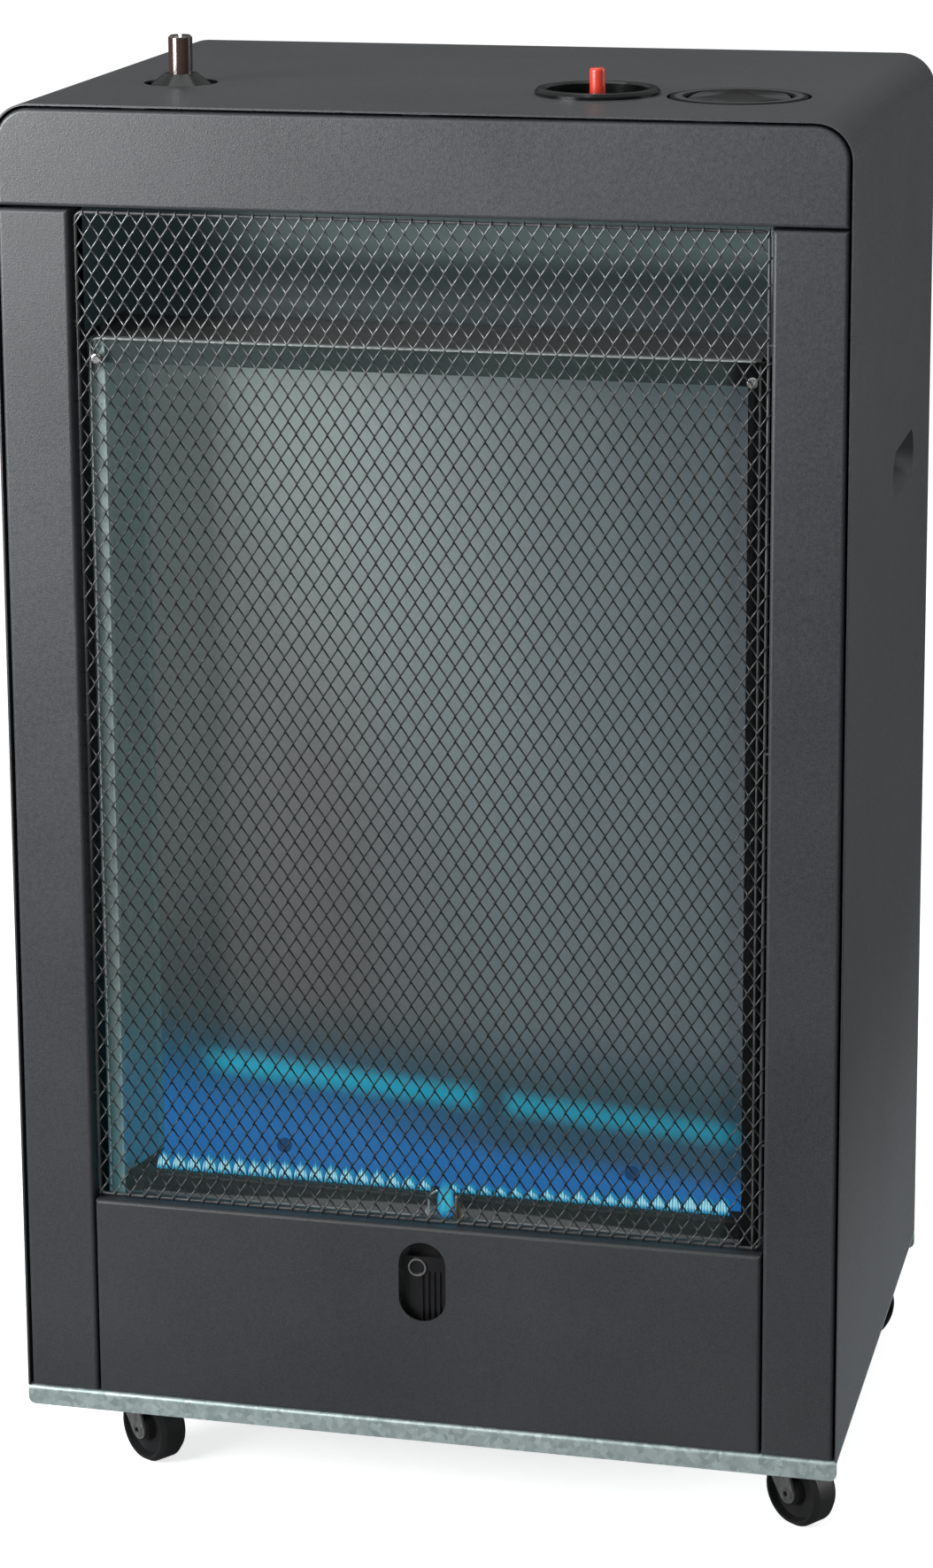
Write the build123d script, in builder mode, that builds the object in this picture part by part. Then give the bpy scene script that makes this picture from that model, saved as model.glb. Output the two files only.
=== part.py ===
from build123d import *
import math
import os

os.makedirs("parts", exist_ok=True)

# Portable cabinet gas heater on castors. Millimetres, +Z up, the front faces -Y, +X is to the right
# seen from the front. The origin is on the floor under the middle of the whole heater.

# ---- driving dimensions ----
width = 450.0              # across the casing
casing_depth = 325.0       # front edge to rear edge of the casing
cover_depth = 93.0         # how far the rear cover stands out behind the casing, louvres included
louvre_out = 4.0           # how far the louvres stand out of the rear cover
body_height = 711.0        # tray top to casing top
castor_drop = 50.0         # floor to the lower edge of the tray flange
tray_flange = 11.0         # height of the tray's front and rear flanges
sheet = 1.0                # steel sheet of the casing and the chamber
tray_sheet = 1.2
stile_width = 38.0         # the front posts beside the opening
fascia_drop = 54.0         # casing top down to the seam under the fascia
panel_height = 112.0       # the plain panel under the opening
reveal = 1.5               # dark gap round the front pieces
front_return = 16.0        # depth of the folded edges of the front pieces
top_bend = 20.0            # outside radius of the casing's two top edges

# ---- positions that follow from them ----
front_y = -(casing_depth + cover_depth) / 2
rear_y = front_y + casing_depth
back_y = front_y + casing_depth + cover_depth
tray_top = castor_drop + tray_flange
casing_top = tray_top + body_height
half = width / 2
inner_half = half - sheet
seam = casing_top - fascia_drop
panel_top = tray_top + panel_height
opening_half = inner_half - reveal - stile_width
opening_mid = (seam + panel_top) / 2

# ---- chamber, as depths behind the front face and heights above the tray ----
glass_depth = 9.5
glass_thick = 4.0
glass_half = 177.5
glass_foot = panel_top
chamber_top = tray_top + 588.0
chamber_foot = panel_top
back_foot = tray_top + 100.0
chamber_half = 180.0
wall_depth = 43.0          # where the side wall turns towards the back panel
back_depth = 82.0          # front face of the back panel
back_half = 170.5
shield_depth = 94.5        # front face of the sheet that parts the fire from the bottle bay
burner_depth = 40.0        # middle of the burner
burner_top = tray_top + 118.0

# ---- controls on the top ----
control_depth = 98.0
knob_x = 150.5
safety_x = 75.5
igniter_x = -155.0
igniter_depth = 108.0
rail_top = casing_top - 20.0    # upper face of the rail that carries the controls
rail_thick = 1.5

# ---- castors ----
wheel_radius = 20.0
wheel_width = 17.0
axle_radius = 2.5
trail = 18.0
swivel_x = 184.0
front_swivel = 62.0
rear_swivel = 290.0


def facing_front(depth):
    """A plane that looks at the front, this far behind the front face. Its y is height."""
    return Plane.XZ.offset(-(front_y + depth))


def facing_side(x):
    """A plane across the heater at x. Its x is the distance behind the origin, its y is height."""
    return Plane.YZ.offset(x)


def behind(depth):
    """The y of a point this far behind the front face."""
    return front_y + depth


def bent_strip(points, thickness, bend, side):
    """The closed section of a bent sheet: a line through the points, its bends rounded."""
    with BuildLine() as line:
        Polyline(*points)
        ends = [Vector(*points[0]), Vector(*points[-1])]
        bends = [v for v in line.vertices() if all((Vector(v) - end).length > 0.01 for end in ends)]
        fillet(bends, bend)
        offset(amount=thickness, side=side)
    make_face(line.edges())


def write(builder, name):
    """Labels a finished piece and writes its STEP file."""
    builder.part.label = name
    export_step(builder.part, f"parts/{name}.step")


# ================= casing =================

grip_depth = 209.0         # middle of the side grip behind the front face
grip_height = tray_top + 497.0
grip_length = 86.0
grip_tall = 26.0
grip_reach = 15.0          # how far the scoop goes in
grip_taper = 18.0          # the scoop's floor is this much shorter than its mouth
rear_flange = 14.0
foot_flange = 14.0
knob_hole = 37.8
cup_hole = 29.0
igniter_hole = 20.0
cover_screw_x = 216.0
cover_screw_heights = (tray_top + 60.0, tray_top + 640.0)
cover_screw_points = [(x, z) for x in (-cover_screw_x, cover_screw_x) for z in cover_screw_heights]
cover_screw_hole = 2.05

wrap_line = [(-half, tray_top), (-half, casing_top), (half, casing_top), (half, tray_top)]

with BuildPart() as casing_wrap:
    with BuildSketch(facing_front(0)):
        bent_strip(wrap_line, sheet, top_bend, Side.RIGHT)
    extrude(amount=-casing_depth)
    with BuildSketch(facing_front(casing_depth - sheet)):
        bent_strip(wrap_line, rear_flange, top_bend, Side.RIGHT)
    extrude(amount=-sheet)
    with BuildSketch(Plane.XY.offset(tray_top)):
        foot_length = casing_depth - front_return - 4
        with Locations((0, rear_y - foot_length / 2)):
            with GridLocations(width - foot_flange, 1, 2, 1):
                Rectangle(foot_flange, foot_length)
    extrude(amount=sheet)
    # the finger scoops pressed into both sides, closed below and open above into the casing
    for side in (-1, 1):
        for grow, how in ((sheet, Mode.ADD), (0, Mode.SUBTRACT)):
            with BuildSketch(facing_side(side * half)):
                with Locations((behind(grip_depth), grip_height)):
                    SlotOverall(grip_length + 2 * grow, grip_tall + 2 * grow)
            with BuildSketch(facing_side(side * (half - grip_reach - grow))):
                with Locations((behind(grip_depth), grip_height + 3)):
                    SlotOverall(grip_length - grip_taper + 2 * grow, grip_tall - 10 + 2 * grow)
            loft(mode=how)
        with BuildSketch(facing_side(side * (half - 2.5))):
            with Locations((behind(grip_depth), grip_height + 13)):
                Rectangle(grip_length - 24, 12)
        extrude(amount=-side * (grip_reach + 1), mode=Mode.SUBTRACT)
    with BuildSketch(Plane.XY.offset(casing_top)):
        with Locations((knob_x, behind(control_depth))):
            Circle(knob_hole)
        with Locations((safety_x, behind(control_depth))):
            Circle(cup_hole)
        with Locations((igniter_x, behind(igniter_depth))):
            Circle(igniter_hole)
    extrude(amount=-2 * sheet, mode=Mode.SUBTRACT)
    with BuildSketch(facing_front(casing_depth)):
        with Locations(*cover_screw_points):
            Circle(cover_screw_hole)
    extrude(amount=2 * sheet, mode=Mode.SUBTRACT)
write(casing_wrap, "casing_wrap")

# ---- the four painted front pieces: shallow pans with softly rounded front edges ----
pan_edge = 2.0
fascia_half = inner_half - reveal
fascia_foot = seam + 0.8
fascia_height = casing_top - sheet - reveal - fascia_foot
tab_depth = 6.0

with BuildPart() as top_fascia:
    with BuildSketch(facing_front(0)) as fascia_outline:
        with Locations((0, fascia_foot)):
            Rectangle(2 * fascia_half, fascia_height, align=(Align.CENTER, Align.MIN))
        fillet(fascia_outline.vertices().group_by(Axis.Y)[-1], top_bend - sheet - reveal)
    extrude(amount=-front_return)
    fillet(top_fascia.faces().sort_by(Axis.Y)[0].edges(), pan_edge)
    offset(amount=-sheet, openings=top_fascia.faces().sort_by(Axis.Y)[-1])
    # tabs that meet the inside of the casing
    with BuildSketch(facing_front(front_return - tab_depth)):
        with Locations((0, casing_top - sheet - reveal / 2)):
            with GridLocations(150, 1, 3, 1):
                Rectangle(14, reveal)
    extrude(amount=-tab_depth)
write(top_fascia, "top_fascia")

rod_radius = 0.9           # the wire that frames the mesh
rod_depth = 5.5
rod_half = opening_half - 2.4
rod_hook_heights = [panel_top + 60.0, opening_mid, seam - 60.0]
stile_mid = inner_half - reveal - stile_width / 2
stile_height = seam - 0.8 - tray_top


def front_stile(side):
    """One front post, side -1 on the left and 1 on the right."""
    with BuildPart() as stile:
        with BuildSketch(facing_front(0)):
            with Locations((side * stile_mid, tray_top)):
                Rectangle(stile_width, stile_height, align=(Align.CENTER, Align.MIN))
        extrude(amount=-front_return)
        fillet(stile.faces().sort_by(Axis.Y)[0].edges(), pan_edge)
        offset(amount=-sheet, openings=stile.faces().sort_by(Axis.Y)[-1])
        with BuildSketch(facing_front(front_return - tab_depth)):
            with Locations((side * (inner_half - reveal / 2), tray_top + stile_height / 2)):
                with GridLocations(1, stile_height / 3, 1, 3):
                    Rectangle(reveal, 14)
        extrude(amount=-tab_depth)
        # holes that take the hooks of the mesh frame
        with BuildSketch(facing_side(side * (opening_half - 1))):
            with Locations(*[(behind(rod_depth), z) for z in rod_hook_heights]):
                Circle(rod_radius)
        extrude(amount=side * (2 + sheet), mode=Mode.SUBTRACT)
    return stile


left_stile = front_stile(-1)
write(left_stile, "left_stile")
right_stile = front_stile(1)
write(right_stile, "right_stile")

window_height = tray_top + 81.0
window_wide = 26.0
window_tall = 45.0

with BuildPart() as lower_front_panel:
    with BuildSketch(facing_front(0)):
        with Locations((0, tray_top)):
            Rectangle(2 * (opening_half - 1.2), panel_height, align=(Align.CENTER, Align.MIN))
    extrude(amount=-front_return)
    fillet(lower_front_panel.faces().sort_by(Axis.Y)[0].edges(), pan_edge)
    offset(amount=-sheet, openings=lower_front_panel.faces().sort_by(Axis.Y)[-1])
    with BuildSketch(facing_front(0)):
        with Locations((0, window_height)):
            SlotOverall(window_tall, window_wide, rotation=90)
    extrude(amount=-2 * sheet, mode=Mode.SUBTRACT)
write(lower_front_panel, "lower_front_panel")

# ---- base tray: front and rear flanges folded down, a shelf behind for the gas bottle ----
tray_bend = 2.5
stem_radius = 4.0
castor_points = [(-swivel_x, front_swivel), (swivel_x, front_swivel), (-swivel_x, rear_swivel),
                 (swivel_x, rear_swivel)]
shelf_half = 190.0
shelf_reach = cover_depth - 8.0
pad_radius = 130.0         # a round step pressed up for the foot ring of the gas bottle
pad_rise = 1.2
bay_middle = (behind(shield_depth) + back_y - louvre_out) / 2

with BuildPart() as base_tray:
    with BuildSketch(facing_side(0)):
        bent_strip([(front_y, castor_drop), (front_y, tray_top), (rear_y, tray_top),
                    (rear_y, castor_drop)], tray_sheet, tray_bend, Side.RIGHT)
    extrude(amount=half, both=True)
    with BuildSketch(Plane.XY.offset(tray_top - tray_sheet)) as bottle_shelf:
        with Locations((0, rear_y - 10)):
            Rectangle(2 * shelf_half, shelf_reach + 10, align=(Align.CENTER, Align.MIN))
        fillet(bottle_shelf.vertices().group_by(Axis.Y)[-1], 40)
    extrude(amount=tray_sheet)
    # rounded lower corners of both flanges
    corner_edges = base_tray.edges().filter_by(Axis.Y).group_by(Axis.Z)[0]
    fillet(corner_edges, 4)
    for radius, rise, how in ((pad_radius, pad_rise, Mode.ADD), (pad_radius - 2, -tray_sheet, Mode.SUBTRACT)):
        with BuildSketch(Plane.XY.offset(tray_top)):
            with Locations((0, bay_middle)):
                Circle(radius)
        extrude(amount=rise, mode=how)
    with BuildSketch(Plane.XY.offset(tray_top)):
        with Locations(*[(x, behind(depth)) for x, depth in castor_points]):
            Circle(stem_radius)
    extrude(amount=-2 * tray_sheet, mode=Mode.SUBTRACT)
write(base_tray, "base_tray")

# ---- rear cover: a deep pan with louvres, screwed to the casing's rear flange ----
cover_half = 205.0
cover_foot = tray_top - 5.0
cover_head = casing_top - 34.0
cover_bend = 12.0
louvre_tall = 9.0
louvre_long = 110.0
cover_wall = back_y - louvre_out
louvre_rows = 7
louvre_pitch = 22.0
louvre_blocks = (tray_top + 50.0, tray_top + 470.0)
louvre_heights = [foot + row * louvre_pitch for foot in louvre_blocks for row in range(louvre_rows)]
louvre_starts = (-140.0, 30.0)

with BuildPart() as rear_cover:
    with BuildSketch(Plane.XY.offset(cover_foot)):
        with Locations((0, rear_y)):
            Rectangle(2 * cover_half, cover_wall - rear_y, align=(Align.CENTER, Align.MIN))
    extrude(amount=cover_head - cover_foot)
    back_face = rear_cover.faces().sort_by(Axis.Y)[-1]
    rounded = back_face.edges().filter_by(Axis.Z) + back_face.edges().group_by(Axis.Z)[-1]
    fillet(rounded, cover_bend)
    open_faces = [rear_cover.faces().sort_by(Axis.Y)[0], rear_cover.faces().sort_by(Axis.Z)[0]]
    offset(amount=-sheet, openings=open_faces)
    # the rim that lies on the casing's rear flange
    with BuildSketch(facing_front(casing_depth)) as rim:
        with Locations((0, tray_top + 2)):
            Rectangle(2 * (inner_half - 3), cover_head + 22 - tray_top, align=(Align.CENTER, Align.MIN))
        fillet(rim.vertices().group_by(Axis.Y)[-1], 16)
        with Locations((0, tray_top + 2)):
            Rectangle(2 * (cover_half - sheet), cover_head - sheet - tray_top - 2,
                      align=(Align.CENTER, Align.MIN), mode=Mode.SUBTRACT)
        with Locations(*cover_screw_points):
            Circle(cover_screw_hole, mode=Mode.SUBTRACT)
    extrude(amount=-sheet)
    for start in louvre_starts:
        for thick, how in ((0, Mode.ADD), (0.8, Mode.SUBTRACT)):
            with BuildSketch(facing_side(start + thick)):
                for z in louvre_heights:
                    inner = cover_wall - 0.6 - 2 * thick
                    outer = cover_wall + louvre_out - thick
                    with BuildLine():
                        Polyline((inner, z - thick), (outer, z - thick), (outer, z + 1.5),
                                 (inner, z + louvre_tall - thick), close=True)
                    make_face()
            extrude(amount=louvre_long - 2 * thick, mode=how)
write(rear_cover, "rear_cover")

screw_shank = 2.0

with BuildPart() as rear_cover_screws:
    for radius, length in ((4.5, -3.0), (screw_shank, 8.0)):
        with BuildSketch(facing_front(casing_depth + sheet)):
            with Locations(*cover_screw_points):
                Circle(radius)
        extrude(amount=length)
    heads = rear_cover_screws.faces().group_by(Axis.Y)[-1].edges()
    fillet(heads, 1.2)
write(rear_cover_screws, "rear_cover_screws")

# ================= mesh guard =================

diamond_wide = 8.4
diamond_tall = 13.3
wire = 0.9
mesh_half = rod_half + 0.9
mesh_head = seam - 1.4
mesh_foot = panel_top + 1.4
mesh_mid = (mesh_head + mesh_foot) / 2
mesh_slope = math.degrees(math.atan2(diamond_tall, diamond_wide))
slot_gap = diamond_wide * math.sin(math.radians(mesh_slope)) - wire
mesh_reach = mesh_half + (mesh_head - mesh_foot) / 2 * diamond_wide / diamond_tall
bar_count = int(2 * mesh_reach / diamond_wide) + 2

with BuildPart() as mesh_guard:
    for lean, depth in ((1, rod_depth - rod_radius - wire), (-1, rod_depth + rod_radius)):
        with BuildSketch(facing_front(depth)):
            with Locations((0, mesh_mid)):
                Rectangle(2 * mesh_half, mesh_head - mesh_foot)
        extrude(amount=-wire)
        with BuildSketch(facing_front(depth)):
            with Locations((0, mesh_mid)):
                with GridLocations(diamond_wide, 1, bar_count, 1):
                    Rectangle(900, slot_gap, rotation=lean * mesh_slope)
                Rectangle(2 * mesh_half - 3, mesh_head - mesh_foot - 3, mode=Mode.INTERSECT)
        extrude(amount=-wire, mode=Mode.SUBTRACT)
write(mesh_guard, "mesh_guard")

rod_start = (-rod_half, mesh_mid)

with BuildPart() as mesh_frame_rod:
    with BuildLine(facing_front(rod_depth)) as rod_path:
        Polyline(rod_start, (-rod_half, mesh_head - 1), (rod_half, mesh_head - 1),
                 (rod_half, mesh_foot + 1), (-rod_half, mesh_foot + 1), close=True)
        fillet([v for v in rod_path.vertices() if abs(v.Z - mesh_mid) > 1], 4)
    with BuildSketch(Plane(origin=rod_path.line @ 0, z_dir=rod_path.line % 0)):
        Circle(rod_radius)
    sweep()
    for side in (-1, 1):
        with BuildSketch(facing_side(side * rod_half)):
            with Locations(*[(behind(rod_depth), z) for z in rod_hook_heights]):
                Circle(rod_radius)
        extrude(amount=side * (opening_half + sheet - rod_half))
write(mesh_frame_rod, "mesh_frame_rod")

# ================= fire chamber =================

glass_screw_x = glass_half - 4.0
glass_screw_height = chamber_top - 11.0
glass_screw_points = [(x, glass_screw_height) for x in (-glass_screw_x, glass_screw_x)]

with BuildPart() as glass_panel:
    with BuildSketch(facing_front(glass_depth)) as pane:
        with Locations((0, glass_foot)):
            Rectangle(2 * glass_half, chamber_top - glass_foot, align=(Align.CENTER, Align.MIN))
        fillet(pane.vertices().group_by(Axis.Y)[-1], 5)
        with Locations(*glass_screw_points):
            Circle(2.0, mode=Mode.SUBTRACT)
    extrude(amount=-glass_thick)
    chamfer(glass_panel.faces().sort_by(Axis.Y)[0].outer_wire().edges(), 0.6)
write(glass_panel, "glass_panel")

flange_depth = glass_depth + glass_thick


def chamber_side(side):
    """A side wall of the chamber: front flange for the glass, straight wall, facet, rear flange."""
    with BuildPart() as wall:
        with BuildSketch(Plane.XY.offset(chamber_foot)):
            bent_strip([(side * back_half, behind(flange_depth)),
                        (side * chamber_half, behind(flange_depth)),
                        (side * chamber_half, behind(wall_depth)),
                        (side * (back_half + 1), behind(back_depth + 2 * sheet)),
                        (side * (back_half - 12), behind(back_depth + 2 * sheet))],
                       sheet, 2.0, Side.LEFT if side > 0 else Side.RIGHT)
        extrude(amount=chamber_top - sheet - chamber_foot)
        with BuildSketch(facing_front(flange_depth)):
            with Locations(*glass_screw_points):
                Circle(1.5)
        extrude(amount=-2 * sheet, mode=Mode.SUBTRACT)
    return wall


chamber_side_left = chamber_side(-1)
write(chamber_side_left, "chamber_side_left")
chamber_side_right = chamber_side(1)
write(chamber_side_right, "chamber_side_right")

back_screw_points = [(x, tray_top + 120.0) for x in (-99.0, 99.0)]
back_screw_length = 15.0   # they reach through the panel into the heat shield behind it
flue_slot = 23.0           # the burnt gas leaves over the back panel's upper edge

with BuildPart() as chamber_back_panel:
    with BuildSketch(facing_front(back_depth)):
        with Locations((0, back_foot)):
            Rectangle(2 * back_half - 2, chamber_top - sheet - flue_slot - back_foot,
                      align=(Align.CENTER, Align.MIN))
        with Locations(*back_screw_points):
            Circle(1.5, mode=Mode.SUBTRACT)
    extrude(amount=-sheet)
write(chamber_back_panel, "chamber_back_panel")

# the glass is held by two pan-head screws, the back panel by two flat ones
with BuildPart() as chamber_screws:
    for points, depth, head, proud, length in ((glass_screw_points, glass_depth, 3.0, 1.8, 8.0),
                                               (back_screw_points, back_depth, 4.25, 1.2, back_screw_length)):
        for radius, reach in ((head, proud), (1.5, -length)):
            with BuildSketch(facing_front(depth)):
                with Locations(*points):
                    Circle(radius)
            extrude(amount=reach)
    fillet(chamber_screws.faces().group_by(Axis.Y)[0].edges(), 1.0)
write(chamber_screws, "chamber_screws")

lip_depth = flange_depth + sheet
lip_tall = 14.0

with BuildPart() as chamber_top_ledge:
    with BuildSketch(facing_side(0)):
        bent_strip([(behind(lip_depth), chamber_top - lip_tall), (behind(lip_depth), chamber_top),
                    (behind(back_depth + 2 * sheet), chamber_top)], sheet, 2.0, Side.RIGHT)
    extrude(amount=chamber_half - 3, both=True)
    with BuildSketch(facing_front(lip_depth)):
        with Locations(*glass_screw_points):
            Circle(1.5)
    extrude(amount=-2 * sheet, mode=Mode.SUBTRACT)
write(chamber_top_ledge, "chamber_top_ledge")

# ---- hood over the chamber: a concave sheet that turns the warm air out to the front ----
hood_front = behind(front_return + 0.5)
hood_back = behind(shield_depth)
hood_spring = chamber_top + 10.0
hood_radius = hood_back - hood_front
hood_top = hood_spring + hood_radius
hood_half = 181.0
hood_arc_mid = (hood_front + hood_radius * math.sin(math.radians(45)),
                hood_spring + hood_radius * math.sin(math.radians(45)))
hood_tail = 40.0

with BuildPart() as upper_hood:
    with BuildSketch(facing_side(-hood_half)):
        with BuildLine():
            Line((hood_back, hood_spring - hood_tail), (hood_back, hood_spring))
            ThreePointArc((hood_back, hood_spring), hood_arc_mid, (hood_front, hood_top))
            Line((hood_front, hood_top), (hood_front, hood_top + 8))
            offset(amount=sheet, side=Side.LEFT)
        make_face()
    extrude(amount=2 * hood_half)
    # end plates that close the hood at both sides
    for side in (-1, 1):
        with BuildSketch(facing_side(side * hood_half)):
            with BuildLine():
                Line((hood_back, hood_spring), (hood_back, chamber_top + 2))
                Line((hood_back, chamber_top + 2), (hood_front, chamber_top + 2))
                Line((hood_front, chamber_top + 2), (hood_front, hood_top))
                ThreePointArc((hood_front, hood_top), hood_arc_mid, (hood_back, hood_spring))
            make_face()
        extrude(amount=side * sheet)
write(upper_hood, "upper_hood")

with BuildPart() as heat_shield:
    with BuildSketch(facing_side(0)):
        bent_strip([(hood_back, hood_spring), (hood_back, tray_top), (hood_back + 14, tray_top)],
                   sheet, 2.0, Side.LEFT)
    extrude(amount=inner_half, both=True)
    # the sheet stands inside the casing's foot flanges
    with BuildSketch(Plane.XY.offset(tray_top)):
        with GridLocations(2 * inner_half, 1, 2, 1):
            with Locations((0, hood_back)):
                Rectangle(2 * foot_flange, 60)
    extrude(amount=sheet, mode=Mode.SUBTRACT)
    with BuildSketch(facing_front(shield_depth)):
        with Locations(*back_screw_points):
            Circle(1.5)
    extrude(amount=-2 * sheet, mode=Mode.SUBTRACT)
write(heat_shield, "heat_shield")

# ---- shelf that carries the burner, with air slots ----
shelf_front = behind(18.0)
shelf_top = tray_top + 107.0
trough_front = behind(31.0)
trough_back = behind(51.0)
trough_floor = tray_top + 96.0
burner_half = 166.0
shelf_end = 178.0
neck_x = 60.0
tube_radius = 10.0
tube_height = tray_top + 70.0
mouth_x = 150.0
injector_x = 166.0
pilot_x = 7.0
pilot_depth = 25.0
probe_x = pilot_x + 7.0
probe_radius = 1.6
spark_x = pilot_x - 9.0
spark_radius = 2.2

with BuildPart() as burner_shelf:
    with BuildSketch(facing_side(-shelf_end)):
        bent_strip([(shelf_front + 12, tray_top), (shelf_front, tray_top), (shelf_front, shelf_top),
                    (trough_front, shelf_top), (trough_front, trough_floor),
                    (trough_back, trough_floor), (trough_back, trough_floor + 4),
                    (behind(back_depth + 1.5), trough_floor + 4)], sheet, 0.9, Side.RIGHT)
    extrude(amount=2 * shelf_end)
    # air slots in the ledge behind the burner
    with BuildSketch(Plane.XY.offset(trough_floor + 4)):
        with Locations((0, (trough_back + behind(back_depth)) / 2)):
            with GridLocations(34, 1, 10, 1):
                SlotOverall(26, 14)
    extrude(amount=-2 * sheet, mode=Mode.SUBTRACT)
    # ways through for the burner's neck and for the pilot group
    with BuildSketch(Plane.XY.offset(trough_floor)):
        with Locations((neck_x, behind(burner_depth))):
            Circle(tube_radius)
    extrude(amount=-2 * sheet, mode=Mode.SUBTRACT)
    with BuildSketch(Plane.XY.offset(shelf_top)):
        for x, radius in ((pilot_x, 3.0), (probe_x, probe_radius), (spark_x, spark_radius)):
            with Locations((x, behind(pilot_depth))):
                Circle(radius)
    extrude(amount=-2 * sheet, mode=Mode.SUBTRACT)
    # the tab that carries the injector
    with BuildSketch(facing_side(injector_x)):
        with Locations(((shelf_front + behind(52)) / 2, tube_height)):
            Rectangle(behind(52) - shelf_front, 30)
            with Locations((behind(burner_depth) - (shelf_front + behind(52)) / 2, 0)):
                Circle(4.0, mode=Mode.SUBTRACT)
    extrude(amount=2)
write(burner_shelf, "burner_shelf")

# ---- burner: a closed steel bar with clusters of ports along its top, open in the middle ----
burner_wide = 14.0
port_pitch = 8.7
port_clusters = 18
port_gap = 12.5
half_run = (port_clusters - 1) * port_pitch / 2
run_middle = port_gap / 2 + half_run + 2.0

with BuildPart() as burner:
    with BuildSketch(facing_side(-burner_half)):
        with Locations((behind(burner_depth), (trough_floor + burner_top) / 2)):
            RectangleRounded(burner_wide, burner_top - trough_floor, 2.5)
    extrude(amount=2 * burner_half)
    with BuildSketch(facing_side(-burner_half + 2)):
        with Locations((behind(burner_depth), (trough_floor + burner_top) / 2)):
            Rectangle(burner_wide - 2.4, burner_top - trough_floor - 2.4)
    extrude(amount=2 * burner_half - 4, mode=Mode.SUBTRACT)
    with BuildSketch(Plane.XY.offset(burner_top)):
        for side in (-1, 1):
            with Locations((side * run_middle, behind(burner_depth))):
                with GridLocations(port_pitch, 1, port_clusters, 1):
                    with GridLocations(2.4, 1, 3, 1):
                        Rectangle(1.0, 8.0)
    extrude(amount=-2.0, mode=Mode.SUBTRACT)
    with BuildSketch(Plane.XY.offset(trough_floor)):
        with Locations((neck_x, behind(burner_depth))):
            Circle(5.0)
    extrude(amount=2.0, mode=Mode.SUBTRACT)
write(burner, "burner")

with BuildPart() as mixing_tube:
    with BuildLine(facing_front(burner_depth)) as tube_path:
        FilletPolyline((mouth_x, tube_height), (neck_x, tube_height), (neck_x, trough_floor), radius=14)
    with BuildSketch(Plane(origin=tube_path.line @ 0, z_dir=tube_path.line % 0)):
        Circle(tube_radius)
        Circle(tube_radius - 1, mode=Mode.SUBTRACT)
    sweep()
    # bell mouth that draws in the air
    tube_edge = tube_height + tube_radius
    with BuildSketch(facing_front(burner_depth)):
        with BuildLine():
            Polyline((mouth_x - 6, tube_edge - 0.5), (mouth_x, tube_edge - 0.5),
                     (mouth_x + 3, tube_edge + 2.5), (mouth_x + 3, tube_edge + 3.5),
                     (mouth_x - 6, tube_edge + 0.6), close=True)
        make_face()
    revolve(axis=Axis((0, behind(burner_depth), tube_height), (1, 0, 0)))
write(mixing_tube, "mixing_tube")

hex_flats = 12.0

with BuildPart() as injector:
    with BuildSketch(facing_side(injector_x + 2)):
        with Locations((behind(burner_depth), tube_height)):
            RegularPolygon(hex_flats / 2, 6, major_radius=False)
    extrude(amount=9)
    with BuildSketch(facing_side(injector_x + 2)):
        with Locations((behind(burner_depth), tube_height)):
            Circle(4.0)
    extrude(amount=-12)
    chamfer(injector.faces().sort_by(Axis.X)[0].edges(), 1.5)
    with Locations(Plane(origin=(injector_x + 11, behind(burner_depth), tube_height), z_dir=(1, 0, 0))):
        Hole(3.0, 6)
    with Locations(Plane(origin=(injector_x - 10, behind(burner_depth), tube_height), z_dir=(-1, 0, 0))):
        Hole(0.5, 20)
write(injector, "injector")

# ---- pilot group in front of the burner's gap ----
with BuildPart() as pilot_bracket:
    with BuildSketch(Plane.XY.offset(shelf_top)):
        with Locations((pilot_x, behind(pilot_depth))):
            Rectangle(30, 9)
            Circle(2.6, mode=Mode.SUBTRACT)
            with Locations((probe_x - pilot_x, 0)):
                Circle(probe_radius, mode=Mode.SUBTRACT)
            with Locations((spark_x - pilot_x, 0)):
                Circle(spark_radius, mode=Mode.SUBTRACT)
    extrude(amount=sheet)
    # two small screw heads that hold it down
    with BuildSketch(Plane.XY.offset(shelf_top + sheet)):
        with Locations((pilot_x, behind(pilot_depth))):
            with GridLocations(26, 1, 2, 1):
                Circle(1.6)
    extrude(amount=1.2)
write(pilot_bracket, "pilot_bracket")

with BuildPart() as pilot_burner:
    for foot, height, radius in ((-22.0, 22.0, 2.6), (1.0, 2.5, 4.4), (3.5, 3.5, 3.4)):
        with BuildSketch(Plane.XY.offset(shelf_top + foot)):
            with Locations((pilot_x, behind(pilot_depth))):
                Circle(radius)
        extrude(amount=height + (1.0 if foot < 0 else 0.0))
    with Locations((pilot_x, behind(pilot_depth), shelf_top + 7.0)):
        Hole(1.8, 12)
write(pilot_burner, "pilot_burner")

electrode_top = shelf_top + 14.0

with BuildPart() as spark_electrode:
    with BuildSketch(Plane.XY.offset(shelf_top - 16)):
        with Locations((spark_x, behind(pilot_depth))):
            Circle(spark_radius)
    extrude(amount=22)
    with BuildLine() as spark_wire:
        FilletPolyline((spark_x, behind(pilot_depth), shelf_top + 5),
                       (spark_x, behind(pilot_depth), electrode_top),
                       (spark_x + 5, behind(pilot_depth), electrode_top + 3), radius=1.5)
    with BuildSketch(Plane(origin=spark_wire.line @ 0, z_dir=spark_wire.line % 0)):
        Circle(0.7)
    sweep()
write(spark_electrode, "spark_electrode")

# ================= gas controls under the top =================

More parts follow.
